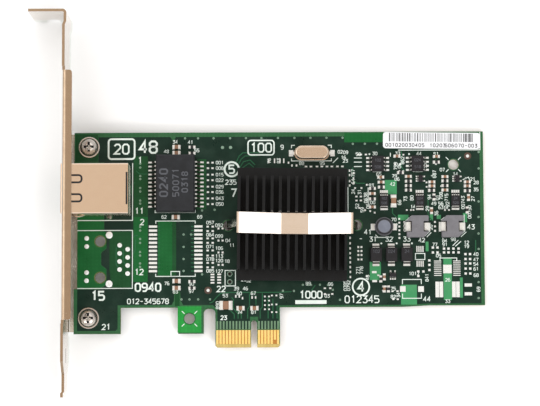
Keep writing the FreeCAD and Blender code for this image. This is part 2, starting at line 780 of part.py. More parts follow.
add("transformer_body", transformer_body())
add("transformer_leads", side_leads(transformer_x, transformer_y, transformer_width, transformer_lead_count,
                                    transformer_lead_exit, transformer_reach, transformer_lead_foot, lead_sheet,
                                    lead_width, lead_pitch))


# ---------------------------------------------------------------- controller, heat sink and clip
package_top = ball_height + package_substrate + package_mould_height
sink_under = package_top + pad_thickness


def controller_balls():
    places = row_ys(ball_rows, ball_pitch, 0)
    middle = ball_rows / 2
    balls = []
    for i, dx in enumerate(places):
        for j, dy in enumerate(places):
            ring = min(i, j, ball_rows - 1 - i, ball_rows - 1 - j)
            core = abs(i + 0.5 - middle) < 2 and abs(j + 0.5 - middle) < 2
            if ring >= ball_ring and not core:
                continue
            corners = [(sink_x + dx + ball_radius * math.cos(math.pi * k / 3),
                        sink_y + dy + ball_radius * math.sin(math.pi * k / 3), 0) for k in range(6)]
            balls.append(prism(corners, (0, 0, ball_height)))
    return balls


def controller_package():
    substrate = block(sink_x, sink_y, ball_height, package_size, package_size, package_substrate)
    mould_size = package_size - 2 * package_mould_inset
    mould = block(sink_x, sink_y, ball_height + package_substrate, mould_size, mould_size, package_mould_height)
    return merged([substrate, topped(mould, package_top, 0.4)])


def set_down(shape):
    """The shape moved and turned a little off its seat, as it was set down by hand."""
    copy = shape.copy()
    copy.rotate(Vec(sink_x, sink_y, 0), Vec(0, 0, 1), sink_turn)
    copy.translate(Vec(sink_slip, 0, 0))
    return copy


def heat_sink():
    half_x, half_y = sink_width / 2, sink_length / 2
    base = box(sink_x - half_x, sink_x + half_x, sink_y - half_y, sink_y + half_y, sink_under,
               sink_under + sink_base)
    fin_half = half_y - sink_fin_end_gap
    fin_pitch = (sink_width - 2 * sink_fin_inset - sink_fin_thickness) / (sink_fins - 1)
    fins = [box(x - sink_fin_thickness / 2, x + sink_fin_thickness / 2, sink_y - fin_half, sink_y + fin_half,
                sink_under + sink_base, sink_top) for x in row_ys(sink_fins, fin_pitch, sink_x)]
    channel = clip_width / 2 + clip_channel_gap
    across = box(sink_x - half_x - 1, sink_x + half_x + 1, sink_y - channel, sink_y + channel, sink_channel_low,
                 sink_top + 1)
    return set_down(cut(merged([base] + fins), [across]))


def heat_sink_clip():
    """A flat spring that presses on the fins in their channel, with hooks through two holes in the board."""
    middle = sink_x + clip_shift
    end, flat_end, half = clip_span / 2, clip_flat / 2, clip_width / 2
    low, high = sink_channel_low, sink_channel_low + clip_rise
    under = [(-end, high), (-flat_end, low), (flat_end, low), (end, high)]
    strip = under + [(x, z + clip_sheet) for x, z in reversed(under)]
    pieces = [prism([(middle + x, sink_y - half, z) for x, z in strip], (0, clip_width, 0))]
    skirt_low = high - clip_skirt
    hook_low = board_back - clip_hook_gap - clip_sheet
    for side, hole in zip((-1, 1), clip_hole_xs):
        outer = middle + side * end
        inner = outer - side * clip_sheet
        tip = hole - side * (clip_hole_radius + clip_hook_grip)
        near, far = hole - side * clip_sheet / 2, hole + side * clip_sheet / 2
        tongue = [(inner, skirt_low + 0.1), (outer, skirt_low + 0.1), (far, clip_knee), (far, hook_low),
                  (tip, hook_low), (tip, hook_low + clip_sheet), (near, hook_low + clip_sheet),
                  (near, clip_knee - clip_sheet / 2)]
        pieces.append(box(min(inner, outer), max(inner, outer), sink_y - half, sink_y + half, skirt_low,
                          high + clip_sheet))
        pieces.append(prism([(x, sink_y - clip_hook_width / 2, z) for x, z in tongue], (0, clip_hook_width, 0)))
    return set_down(merged(pieces))


add("controller_balls", controller_balls())
add("controller_package", controller_package())
add("thermal_pad", block(sink_x, sink_y, package_top, pad_size, pad_size, pad_thickness))
add("heat_sink", heat_sink())
add("heat_sink_clip", heat_sink_clip())


# ---------------------------------------------------------------- crystal
def crystal():
    half, across = crystal_length / 2, crystal_width / 2
    base_top = crystal_base_height

    def stadium(inset, z0, z1):
        return rounded(crystal_x - half + inset, crystal_x + half - inset, crystal_y - across + inset,
                       crystal_y + across - inset, z0, z1, across - inset - 0.02)

    base = stadium(0, 0, base_top)
    rim = stadium(0, base_top, base_top + crystal_rim_thickness)
    can = stadium(crystal_rim, base_top, crystal_height)
    rim_edges = [e for e in can.Edges if all(abs(v.Z - crystal_height) < 1e-6 for v in e.Vertexes)]
    can = can.makeFillet(crystal_can_round, rim_edges)
    leads = []
    for side in (-1, 1):
        inner, outer = sorted((crystal_x + side * half, crystal_x + side * (half + crystal_lead_reach)))
        leads.append(box(inner, outer, crystal_y - crystal_lead_width / 2, crystal_y + crystal_lead_width / 2, 0,
                         crystal_lead_sheet))
    return merged([rim, can]), base, leads


crystal_can, crystal_base, crystal_leads = crystal()
add("crystal_can", crystal_can)
add("crystal_base", crystal_base)
add("crystal_leads", crystal_leads)


# ---------------------------------------------------------------- power-supply field
def moulded(x, y, wide, deep, standoff, tall, bevel):
    return topped(block(x, y, standoff, wide, deep, tall - standoff), tall, bevel)


for i in range(2):
    x = memory_x + i * memory_spacing
    add("memory_bodies", moulded(x, memory_y, memory_width, memory_length, 0.15, memory_height, 0.15))
    add("memory_leads", side_leads(x, memory_y, memory_width, memory_lead_count, memory_lead_exit, memory_reach,
                                   memory_lead_foot, small_lead_sheet, memory_lead_width, lead_pitch))

for x in switch_xs:
    add("switch_bodies", moulded(x, switch_y, switch_width, switch_length, 0.1, switch_height, 0.12))
    side_y = switch_y + switch_length / 2
    for dx in row_ys(switch_pin_count, switch_pin_pitch, x):
        pin = lead(1, dx, side_y, switch_pin_exit, switch_reach, switch_foot, switch_sheet, switch_pin_width)
        add("switch_pins", turned(pin, dx, side_y))
    side_y = switch_y - switch_length / 2
    tab = lead(-1, x, side_y, switch_tab_exit, switch_tab_reach, switch_tab_foot, switch_sheet, switch_tab_width)
    add("switch_pins", turned(tab, x, side_y))

# round coil: a drum core in a cup, with a groove between them and two flat end terminals
cup_top = round_coil_height - round_coil_wall_drop
cup = post(round_coil_x, coil_y, round_coil_standoff, cup_top, round_coil_radius)
hollow = post(round_coil_x, coil_y, round_coil_groove_low, round_coil_height + 1, round_coil_radius - round_coil_wall)
drum = post(round_coil_x, coil_y, round_coil_groove_low - 0.5, round_coil_height, round_coil_drum_radius)
add("round_coil", merged([cup.cut(hollow), drum]))
for side in (-1, 1):
    inner, outer = sorted((round_coil_x + side * round_coil_radius * 0.6,
                           round_coil_x + side * round_coil_terminal_reach))
    add("round_coil_terminals", box(inner, outer, coil_y - round_coil_terminal_width / 2,
                                    coil_y + round_coil_terminal_width / 2, 0, round_coil_standoff))


def square_coil(x):
    """The block with its two terminals, which sit in notches of its sides and turn in under it."""
    half = square_coil_size / 2
    body = box(x - half, x + half, coil_y - half, coil_y + half, square_coil_standoff, square_coil_height)
    upright = edges_along(body, Vec(0, 0, 1))
    large = [e for e in upright if (e.Vertexes[0].X - x) * (e.Vertexes[0].Y - coil_y) < 0]
    body = body.makeChamfer(square_coil_large_cut, large)
    small = [e for e in edges_along(body, Vec(0, 0, 1))
             if abs(abs(e.Vertexes[0].X - x) - half) < 1e-6 and abs(abs(e.Vertexes[0].Y - coil_y) - half) < 1e-6]
    body = body.makeChamfer(square_coil_small_cut, small)
    notches, clips = [], []
    for side, length in zip((-1, 1), square_coil_terminal_lengths):
        root, over = x + side * (half - square_coil_notch_depth), x + side * (half + 1)
        notches.append(box(min(root, over), max(root, over), coil_y - square_coil_notch / 2,
                           coil_y + square_coil_notch / 2, 0, square_coil_height + 1))
        near, tip = root + side * square_coil_terminal_gap, x + side * (half + square_coil_terminal_past)
        foot = root - side * square_coil_foot
        low, high = coil_y - length / 2, coil_y + length / 2
        clips.append(merged([box(min(near, tip), max(near, tip), low, high, 0, square_coil_terminal_height),
                             box(min(foot, tip), max(foot, tip), low, high, 0, square_coil_standoff)]))
    return topped(cut(body, notches), square_coil_height, square_coil_bevel), clips


for x in square_coil_xs:
    body, clips = square_coil(x)
    add("square_coils", body)
    add("square_coil_terminals", clips)

for x in diode_xs:
    add("diode_bodies", moulded(x, diode_y, diode_width, diode_length, 0.1, diode_height, 0.2))
    for side in (-1, 1):
        side_y = diode_y + side * diode_length / 2
        strip = lead(side, x, side_y, diode_lead_exit, diode_reach, diode_lead_foot, diode_lead_sheet,
                     diode_lead_width)
        add("diode_leads", turned(strip, x, side_y))

# small chip parts: x and y from the field's corner or another named place, and whether they stand along Y
flat, upright = False, True
field_capacitors = [(6.18, 9.93, flat), (6.15, 5.68, flat), (8.87, 15.12, flat), (8.96, 13.52, flat),
                    (14.03, 21.73, flat), (17.56, 15.29, flat), (26.44, 21.59, flat), (24.94, 13.51, flat),
                    (24.92, 12.26, flat), (29.06, 15.16, flat), (29.0, 10.95, flat), (36.09, 13.48, flat),
                    (36.07, 12.22, flat), (36.38, 8.57, upright), (24.73, 4.46, upright), (9.69, -16.3, upright),
                    (9.65, -20.07, upright)]
field_resistors = [(6.2, 11.53, flat), (6.17, 8.23, flat), (9.04, 11.97, flat), (15.08, 16.51, flat),
                   (17.55, 13.79, flat), (17.53, 12.39, flat), (17.52, 10.99, flat), (26.41, 19.78, flat),
                   (24.81, 10.86, flat), (29.04, 13.85, flat), (29.02, 12.35, flat), (36.05, 10.72, flat),
                   (25.53, 8.76, upright), (35.92, 4.61, upright), (8.59, -16.94, upright), (10.95, -20.08, upright)]
transformer_capacitors = [(0.15, 11.83), (0.15, 9.92), (-0.08, -10.3), (0.17, -30.41), (0.17, -32.59)]
transformer_resistors = [(5.05, 11.81), (5.05, 9.9), (4.99, -30.57), (4.99, -32.61)]
tab_capacitors = [(-4.24, -0.26), (0.12, -0.27)]
bulk_inset, bulk_rise = 3.3, 0.64       # bulk capacitor's centre from the tab's left side and the board's lower edge


def chip(kind, x, y, size, stands=False):
    """A chip part: its body between two metal end caps."""
    length, width, height = size
    end = length * chip_end
    body = block(x, y, 0.03, length - 2 * end, width * 0.96, height * 0.94)
    caps = [block(x + side * (length - end) / 2, y, 0, end, width, height) for side in (-1, 1)]
    if stands:
        body, caps = turned(body, x, y), [turned(c, x, y) for c in caps]
    add(kind + "_bodies", body)
    add(kind + "_ends", caps)


for dx, dy, stands in field_capacitors:
    chip("capacitor", field_x + dx, sink_y + dy, chip_small, stands)
for dx, dy, stands in field_resistors:
    chip("resistor", field_x + dx, sink_y + dy, chip_small, stands)
for dx, dy in transformer_capacitors:
    chip("capacitor", transformer_x + dx, transformer_y + dy, chip_medium)
for dx, dy in transformer_resistors:
    chip("resistor", transformer_x + dx, transformer_y + dy, chip_small)
for dx, dy in tab_capacitors:
    chip("capacitor", dx, tab_height + dy, chip_medium)
chip("bulk_capacitor", tab_left + bulk_inset, tab_height + bulk_rise, chip_bulk)
chip("bulk_capacitor", field_x + tall_capacitor_inset, switch_y, chip_large, upright)


def small_chip(x, y, stands):
    """A five-pin regulator or logic chip."""
    width, length, height = small_ic
    body = moulded(x, y, width, length, 0.08, height, 0.1)
    pins = []
    for side, count in ((-1, 3), (1, 2)):
        for py in row_ys(count, small_ic_pitch * 2 / (count - 1), y):
            pins.append(lead(side, x + side * width / 2, py, small_ic_exit, small_ic_reach, small_ic_foot,
                             small_ic_sheet, small_ic_pin_width))
    if stands:
        body, pins = turned(body, x, y), [turned(p, x, y) for p in pins]
    add("small_chip_bodies", body)
    add("small_chip_pins", pins)


small_chips = [(21.36, 14.58, flat), (32.86, 14.54, flat), (12.38, -15.72, upright)]
for dx, dy, stands in small_chips:
    small_chip(field_x + dx, sink_y + dy, stands)

# ---------------------------------------------------------------- label
label = rounded(label_x, label_x + label_length, label_low, label_low + label_height, 0, label_thickness,
                label_corner)
label.rotate(Vec(label_x + label_length / 2, label_low + label_height / 2, 0), Vec(0, 0, 1), label_turn)
add("bar_code_label", label)

# ---------------------------------------------------------------- files
for name, pieces in nodes.items():
    solids = [s for piece in pieces for s in piece.Solids]
    shape = solids[0] if len(solids) == 1 else Part.makeCompound(solids)
    shape.exportStep("parts/" + name + ".step")
    print(name, len(solids), "solids", round(sum(s.Volume for s in solids), 2), "mm3",
          all(s.isValid() for s in solids))
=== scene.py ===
import math
import random

import bmesh
import bpy
from mathutils import Matrix, Quaternion, Vector


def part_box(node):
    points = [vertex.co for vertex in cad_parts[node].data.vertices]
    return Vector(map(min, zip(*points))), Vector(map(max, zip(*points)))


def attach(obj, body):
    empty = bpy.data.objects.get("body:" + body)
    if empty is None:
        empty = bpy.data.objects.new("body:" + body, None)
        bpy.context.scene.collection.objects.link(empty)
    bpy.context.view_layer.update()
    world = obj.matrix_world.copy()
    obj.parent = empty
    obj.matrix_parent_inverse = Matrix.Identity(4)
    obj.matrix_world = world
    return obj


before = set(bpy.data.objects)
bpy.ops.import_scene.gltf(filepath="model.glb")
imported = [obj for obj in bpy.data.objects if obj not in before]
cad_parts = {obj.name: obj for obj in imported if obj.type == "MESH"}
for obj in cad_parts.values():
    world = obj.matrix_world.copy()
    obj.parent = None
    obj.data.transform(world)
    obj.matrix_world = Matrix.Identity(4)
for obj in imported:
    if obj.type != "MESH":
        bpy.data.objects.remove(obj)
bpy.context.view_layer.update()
random.seed(7)
mm = 0.001
boardLow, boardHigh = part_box("circuit_board")
boardFace = round(boardHigh.z / mm, 3)           # the board's two faces, in mm
boardBack = round(boardLow.z / mm, 3)


# shader helpers

def paint(red, green, blue):
    def linear(value):
        share = value / 255
        return share / 12.92 if share <= 0.04045 else ((share + 0.055) / 1.055) ** 2.4
    return (linear(red), linear(green), linear(blue), 1.0)


def place(tree, kind, inputs, **settings):
    node = tree.nodes.new("ShaderNode" + kind)
    for key, value in settings.items():
        setattr(node, key, value)
    for key, value in inputs.items():
        socket = node.inputs[key]
        if isinstance(value, bpy.types.NodeSocket):
            tree.links.new(value, socket)
        else:
            socket.default_value = value
    return node.outputs


def calculate(tree, operation, first, second):
    return place(tree, "Math", {0: first, 1: second}, operation=operation)[0]


def spread(tree, value, fromLow, fromHigh, toLow, toHigh):
    return place(tree, "MapRange", {"Value": value, "From Min": fromLow, "From Max": fromHigh,
                                    "To Min": toLow, "To Max": toHigh}, clamp=True)[0]


def blendTones(tree, share, first, second):
    return place(tree, "Mix", {0: share, 6: first, 7: second}, data_type="RGBA")[2]


def objectSpot(tree):
    return place(tree, "TexCoord", {})["Object"]


def faceNormal(tree):
    return place(tree, "NewGeometry", {})["Normal"]


def heightOf(tree, vector):
    return place(tree, "SeparateXYZ", {"Vector": vector})["Z"]


def startGroup(name, inputs, outputs):
    group = bpy.data.node_groups.new(name, "ShaderNodeTree")
    for label, value in inputs.items():
        kind = "NodeSocketVector" if isinstance(value, tuple) else "NodeSocketFloat"
        group.interface.new_socket(label, in_out="INPUT", socket_type=kind).default_value = value
    for label in outputs:
        group.interface.new_socket(label, in_out="OUTPUT", socket_type="NodeSocketFloat")
    return group, group.nodes.new("NodeGroupInput").outputs, group.nodes.new("NodeGroupOutput").inputs


def grainEffect():
    group, taken, given = startGroup("grain", {"Size": 0.5, "Stretch": (1, 1, 1)}, ["Fine", "Broad"])
    spot = objectSpot(group)
    drawn = place(group, "VectorMath", {0: spot, 1: taken["Stretch"]}, operation="MULTIPLY")[0]
    density = calculate(group, "DIVIDE", 1 / mm, taken["Size"])
    wide = calculate(group, "MULTIPLY", density, 0.09)
    fine = place(group, "TexNoise", {"Vector": drawn, "Scale": density, "Detail": 3.0})["Fac"]
    broad = place(group, "TexNoise", {"Vector": spot, "Scale": wide, "Detail": 4.0})["Fac"]
    group.links.new(spread(group, fine, 0.3, 0.7, 0.0, 1.0), given["Fine"])
    group.links.new(spread(group, broad, 0.35, 0.65, 0.0, 1.0), given["Broad"])
    return group


def pitEffect():
    group, taken, given = startGroup("pits", {"Size": 0.2}, ["Pits", "Specks"])
    spot = objectSpot(group)
    density = calculate(group, "DIVIDE", 1 / mm, taken["Size"])
    sparse = calculate(group, "MULTIPLY", density, 0.31)
    cells = place(group, "TexVoronoi", {"Vector": spot, "Scale": density})["Distance"]
    dots = place(group, "TexVoronoi", {"Vector": spot, "Scale": sparse})["Distance"]
    group.links.new(spread(group, cells, 0.05, 0.6, 0.0, 1.0), given["Pits"])
    group.links.new(spread(group, dots, 0.08, 0.2, 1.0, 0.0), given["Specks"])
    return group


def weaveEffect():
    group, taken, given = startGroup("glassWeave", {"Pitch": 0.6}, ["Weave"])
    bands = {"Vector": objectSpot(group), "Scale": calculate(group, "DIVIDE", 0.16 / mm, taken["Pitch"]),
             "Distortion": 0.7, "Detail": 1.0}
    across = place(group, "TexWave", bands, bands_direction="X")["Fac"]
    along = place(group, "TexWave", bands, bands_direction="Y")["Fac"]
    group.links.new(calculate(group, "MULTIPLY", across, along), given["Weave"])
    return group


# edges found by the bevel take a lighter tone: partly wear, partly painted highlight
def rubEffect():
    group, taken, given = startGroup("edgeWearAndSheen", {"Width": 0.2}, ["WearAndSheen"])
    reach = calculate(group, "MULTIPLY", taken["Width"], mm)
    soft = place(group, "Bevel", {"Radius": reach}, samples=4)[0]
    turned = place(group, "VectorMath", {0: soft, 1: faceNormal(group)}, operation="DOT_PRODUCT")["Value"]
    group.links.new(spread(group, turned, 0.995, 0.86, 0.0, 1.0), given["WearAndSheen"])
    return group


def dustEffect():
    group, taken, given = startGroup("settledDust", {"Patch": 8.0}, ["Dust"])
    density = calculate(group, "DIVIDE", 1 / mm, taken["Patch"])
    cloud = place(group, "TexNoise", {"Vector": objectSpot(group), "Scale": density, "Detail": 6.0})["Fac"]
    share = spread(group, cloud, 0.45, 0.75, 0.0, 1.0)
    level = spread(group, heightOf(group, faceNormal(group)), 0.6, 1.0, 0.0, 1.0)
    group.links.new(calculate(group, "MULTIPLY", share, level), given["Dust"])
    return group


# steep faces take a tone: the laminate's cut edges in their own colour, painted reflection on the bracket and
# painted shade on the leads
def sideEffect():
    group, taken, given = startGroup("steepSides", {"Limit": 0.6}, ["Sides"])
    flatness = calculate(group, "ABSOLUTE", heightOf(group, faceNormal(group)), 0.0)
    group.links.new(calculate(group, "LESS_THAN", flatness, taken["Limit"]), given["Sides"])
    return group


# painted light and shade by height: a tone is blended in below the given heights
def depthEffect():
    group, taken, given = startGroup("shadedDepth", {"Low": 0.0, "High": 1.0}, ["Depth"])
    height = calculate(group, "DIVIDE", heightOf(group, objectSpot(group)), mm)
    group.links.new(spread(group, height, taken["Low"], taken["High"], 1.0, 0.0), given["Depth"])
    return group


effects = {"grain": grainEffect(), "pits": pitEffect(), "weave": weaveEffect(), "wearAndSheen": rubEffect(),
           "dust": dustEffect(), "sides": sideEffect(), "depth": depthEffect()}
# the effects that tint: the group's output and the inputs that a look gives before amount and tone
tints = {"weave": ("Weave", ["Pitch"]), "pits": ("Specks", ["Size"]), "wearAndSheen": ("WearAndSheen", ["Width"]),
         "sides": ("Sides", ["Limit"]), "dust": ("Dust", ["Patch"]), "depth": ("Depth", ["Low", "High"])}


def effect(tree, name, inputs):
    node = tree.nodes.new("ShaderNodeGroup")
    node.node_tree = effects[name]
    for key, value in inputs.items():
        node.inputs[key].default_value = value
    return node.outputs


plainLook = dict(grain=0.2, stretch=(1, 1, 1), fineShare=0.4, rough=(0.5, 0.65), bump=0.1, relief=0.02,
                 metal=0.0, specular=0.5, coat=0.0)


def finishOf(name, ownLook):
    look = {**plainLook, **ownLook}
    material = bpy.data.materials.new(name)
    material.use_nodes = True
    tree = material.node_tree
    shader = tree.nodes["Principled BSDF"].inputs
    grain = effect(tree, "grain", {"Size": look["grain"], "Stretch": look["stretch"]})
    share = calculate(tree, "ADD", calculate(tree, "MULTIPLY", grain["Fine"], look["fineShare"]),
                      calculate(tree, "MULTIPLY", grain["Broad"], 1 - look["fineShare"]))
    colour = blendTones(tree, share, paint(*look["tones"][0]), paint(*look["tones"][1]))
    height = grain["Fine"]
    for kind, (output, labels) in tints.items():
        if kind not in look:
            continue
        *values, amount, tone = look[kind]
        made = effect(tree, kind, dict(zip(labels, values)))
        cover = calculate(tree, "MULTIPLY", made[output], amount)
        colour = blendTones(tree, cover, colour, paint(*tone))
        if kind == "pits":
            height = calculate(tree, "ADD", height, made["Pits"])
    bump = place(tree, "Bump", {"Height": height, "Strength": look["bump"], "Distance": look["relief"] * mm})
    tree.links.new(colour, shader["Base Color"])
    tree.links.new(spread(tree, share, 0.0, 1.0, *look["rough"]), shader["Roughness"])
    tree.links.new(bump["Normal"], shader["Normal"])
    shader["Metallic"].default_value = look["metal"]
    shader["Specular IOR Level"].default_value = look["specular"]
    shader["Coat Weight"].default_value = look["coat"]
    shader["Coat Roughness"].default_value = 0.1
    return material


def maskOf(light, dark, **more):
    return {**dict(tones=(light, dark), grain=0.4, rough=(0.26, 0.36), specular=0.16, bump=0.05), **more}


# the lighter edges in these looks are partly wear and partly painted highlight
looks = {
    "laminate": maskOf((43, 94, 56), (37, 84, 50), grain=0.5, rough=(0.28, 0.4), specular=0.2, bump=0.06,
                       weave=(0.62, 0.2, (66, 134, 84)), dust=(9, 0.1, (120, 150, 120)),
                       sides=(0.6, 1, (134, 112, 62))),
    "armMask": maskOf((34, 146, 58), (28, 128, 50), grain=0.5, rough=(0.28, 0.4), specular=0.2, bump=0.06,
                      weave=(0.62, 0.25, (48, 164, 74)), dust=(6, 0.1, (120, 170, 120))),
    "planeMask": maskOf((14, 38, 29), (19, 46, 35), dust=(7, 0.08, (110, 130, 115))),
    "zoneMask": maskOf((16, 84, 39), (23, 95, 46), weave=(0.62, 0.12, (40, 124, 62))),
    "pourMask": maskOf((70, 148, 96), (60, 136, 88), rough=(0.28, 0.38), dust=(6, 0.1, (140, 170, 140))),
    "dimMask": maskOf((20, 66, 34), (27, 76, 42), weave=(0.62, 0.1, (40, 98, 56))),
    "traceMask": maskOf((38, 90, 60), (44, 100, 68), grain=0.3),
    "ringCopper": dict(tones=((96, 110, 52), (78, 96, 46)), rough=(0.35, 0.5), bump=0.06),
    "viaTin": dict(tones=((140, 166, 146), (116, 146, 124)), rough=(0.4, 0.5), bump=0.06),
    "coveredPad": dict(tones=((112, 144, 112), (84, 118, 88)), grain=0.3, rough=(0.3, 0.4), bump=0.05),
    "bareCore": dict(tones=((196, 172, 96), (172, 146, 76)), grain=0.25, bump=0.12,
                     weave=(0.5, 0.3, (214, 196, 130))),
    "bareBrown": dict(tones=((82, 56, 40), (62, 42, 30))),
    "glint": dict(tones=((255, 252, 246), (236, 230, 220)), grain=0.15, metal=0.5, rough=(0.2, 0.3)),
    "coilFace": dict(tones=((102, 106, 118), (120, 124, 136)), rough=(0.4, 0.55), bump=0.2,
                     pits=(0.18, 0.3, (160, 164, 176))),
    "coilPot": dict(tones=((66, 66, 70), (80, 80, 84)), grain=0.15, bump=0.22,
                    pits=(0.2, 0.3, (110, 110, 114)), wearAndSheen=(0.12, 0.3, (120, 120, 124))),
    "contactBed": dict(tones=((186, 122, 36), (160, 100, 28)), grain=0.25, rough=(0.4, 0.55)),
    # painted shade: the dark inside the jumper holes, the screws' recesses and the shield's slots
    "paintedShade": dict(tones=((12, 10, 9), (22, 18, 16)), rough=(0.6, 0.75)),
    "printGrey": dict(tones=((80, 82, 88), (70, 72, 78)), grain=0.15, bump=0.08),
    "silkInk": dict(tones=((232, 240, 234), (214, 226, 216)), grain=0.25, rough=(0.55, 0.7), specular=0.3,
                    bump=0.12),
    "gold": dict(tones=((255, 230, 148), (255, 210, 116)), grain=0.3, stretch=(2.0, 0.3, 1), metal=0.5,
                 rough=(0.2, 0.34), bump=0.06, wearAndSheen=(0.08, 0.5, (255, 232, 176))),
    # bracket: steep faces lighter as painted reflection, low parts lighter as painted light, edges lighter
    # partly as painted highlight
    "bracketPlate": dict(tones=((183, 161, 137), (168, 145, 121)), grain=0.35, stretch=(1, 0.25, 1),
                         metal=1.0, rough=(0.2, 0.28), bump=0.08, fineShare=0.3,
                         wearAndSheen=(0.12, 0.5, (236, 222, 206)),
                         dust=(5, 0.12, (168, 150, 130)), sides=(0.6, 1, (226, 220, 214)),
                         depth=(-2.0, 1.0, 0.8, (240, 244, 240))),
    "screwPlate": dict(tones=((222, 214, 206), (186, 176, 168)), metal=1.0, rough=(0.18, 0.3), bump=0.08,
                       wearAndSheen=(0.12, 0.7, (255, 250, 240))),
    "shieldTin": dict(tones=((243, 223, 203), (239, 217, 195)), grain=0.5, stretch=(1, 0.3, 1), metal=1.0,
                      rough=(0.12, 0.18), bump=0.05, fineShare=0.2, wearAndSheen=(0.12, 0.5, (252, 236, 214))),
    "blackMoulding": dict(tones=((26, 26, 27), (36, 36, 37)), rough=(0.45, 0.6), bump=0.2,
                          pits=(0.18, 0.3, (60, 60, 60))),
    "lampLens": dict(tones=((150, 196, 96), (128, 176, 84)), grain=0.6, rough=(0.15, 0.25), bump=0.03,
                     coat=0.4),
    # leads: steep faces darker as painted shade
    "leadTin": dict(tones=((240, 242, 240), (214, 214, 210)), grain=0.12, metal=0.5, rough=(0.24, 0.4),
                    bump=0.08, sides=(0.93, 1, (58, 54, 50))),
    "solder": dict(tones=((244, 246, 244), (218, 220, 216)), grain=0.15, metal=0.4, rough=(0.22, 0.4),
                   bump=0.12),
    "epoxyMoulding": dict(tones=((30, 28, 30), (38, 36, 38)), grain=0.15, rough=(0.5, 0.62), specular=0.22,
                          bump=0.22, pits=(0.16, 0.25, (60, 60, 62)), wearAndSheen=(0.1, 0.3, (74, 74, 76))),
    "transformerMoulding": dict(tones=((30, 31, 33), (38, 39, 42)), rough=(0.42, 0.55), specular=0.22,
                                bump=0.2, pits=(0.2, 0.25, (64, 66, 70)), dust=(4, 0.12, (80, 82, 88)),
                                wearAndSheen=(0.12, 0.3, (78, 80, 84))),
    "packageLaminate": dict(tones=((30, 70, 44), (24, 58, 36)), grain=0.3, rough=(0.35, 0.45), bump=0.06,
                            weave=(0.4, 0.3, (52, 96, 60))),
    "sinkBlack": dict(tones=((9, 9, 9), (15, 15, 15)), grain=0.3, stretch=(0.4, 2.0, 1), rough=(0.4, 0.55),
                      specular=0.22, bump=0.14, wearAndSheen=(0.14, 0.5, (66, 66, 68)), dust=(3, 0.12, (40, 40, 42))),
    # clip: low parts darker as painted shade, edges lighter partly as painted highlight
    "clipSteel": dict(tones=((255, 246, 238), (248, 236, 224)), grain=0.4, stretch=(0.25, 1, 1), metal=1.0,
                      rough=(0.13, 0.19), bump=0.03, fineShare=0.25, wearAndSheen=(0.12, 0.5, (255, 252, 246)),
                      depth=(4.2, 5.8, 0.9, (44, 42, 38))),
    "greyPad": dict(tones=((128, 130, 134), (110, 112, 118)), grain=0.3, rough=(0.7, 0.85), bump=0.2,
                    pits=(0.15, 0.3, (150, 150, 154))),
    "crystalCase": dict(tones=((222, 202, 182), (200, 178, 156)), grain=0.4, stretch=(0.3, 1, 1), metal=1.0,
                        rough=(0.2, 0.3), bump=0.05, wearAndSheen=(0.15, 0.6, (252, 242, 228))),
    "coilFerrite": dict(tones=((104, 102, 106), (118, 116, 120)), grain=0.15, bump=0.25,
                        pits=(0.2, 0.4, (150, 146, 150)), wearAndSheen=(0.12, 0.3, (158, 154, 158))),
    "capacitorBrown": dict(tones=((152, 114, 86), (134, 98, 74)), grain=0.25, rough=(0.35, 0.5), bump=0.12,
                           pits=(0.12, 0.25, (196, 156, 122))),
    "resistorGlaze": dict(tones=((30, 32, 34), (44, 44, 46)), rough=(0.25, 0.4), bump=0.08,
                          pits=(0.15, 0.2, (90, 90, 90))),
    "endTin": dict(tones=((240, 240, 236), (216, 214, 208)), grain=0.15, metal=0.45, rough=(0.26, 0.42)),
    "labelPaper": dict(tones=((238, 239, 241), (228, 229, 232)), rough=(0.45, 0.6), specular=0.3, bump=0.08,
                       dust=(4, 0.1, (214, 210, 202))),
    "printBlack": dict(tones=((38, 38, 40), (58, 58, 60)), grain=0.15, bump=0.08),
    "floorPaper": dict(tones=((253, 253, 253), (251, 251, 251)), grain=3.0, rough=(0.6, 0.7), specular=0.1,
                       bump=0.0),
}
finishes = {name: finishOf(name, look) for name, look in looks.items()}

nodeFinishes = {
    "laminate": ["circuit_board"], "bracketPlate": ["bracket"], "screwPlate": ["bracket_screws"],
    "gold": ["edge_contacts_front", "edge_contacts_back", "socket_contacts"],
    "shieldTin": ["socket_shield"], "blackMoulding": ["socket_housing", "crystal_base"],
    "lampLens": ["socket_lamps"], "solder": ["solder_joints", "controller_balls"],
    "leadTin": ["socket_lamp_pins", "transformer_leads", "crystal_leads", "memory_leads", "switch_pins",
                "diode_leads", "small_chip_pins"],
    "transformerMoulding": ["transformer_body"], "packageLaminate": ["controller_package"],
    "greyPad": ["thermal_pad"], "sinkBlack": ["heat_sink"], "clipSteel": ["heat_sink_clip"],
    "crystalCase": ["crystal_can"], "coilPot": ["round_coil"], "coilFerrite": ["square_coils"],
    "epoxyMoulding": ["memory_bodies", "switch_bodies", "diode_bodies", "small_chip_bodies"],
    "capacitorBrown": ["capacitor_bodies", "bulk_capacitor_bodies"], "resistorGlaze": ["resistor_bodies"],
    "endTin": ["round_coil_terminals", "square_coil_terminals", "capacitor_ends", "resistor_ends",
               "bulk_capacitor_ends"],
    "labelPaper": ["bar_code_label"],
}
for finishName, nodeNames in nodeFinishes.items():
    for nodeName in nodeNames:
        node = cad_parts[nodeName]
        node.data.materials.clear()
        node.data.materials.append(finishes[finishName])
print("finishes placed on", len(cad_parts), "nodes")


# mesh helpers: all in mm until the piece is made

def addObject(name, data):
    holder = bpy.data.objects.new(name, data)
    bpy.context.scene.collection.objects.link(holder)
    return holder


def makePiece(name, shape, finish):
    bmesh.ops.recalc_face_normals(shape, faces=shape.faces)
    bmesh.ops.scale(shape, vec=(mm, mm, mm), verts=shape.verts)
    mesh = bpy.data.meshes.new(name)
    shape.to_mesh(mesh)
    shape.free()
    mesh.materials.append(finishes[finish])
    piece = addObject(name, mesh)
    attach(piece, "root")


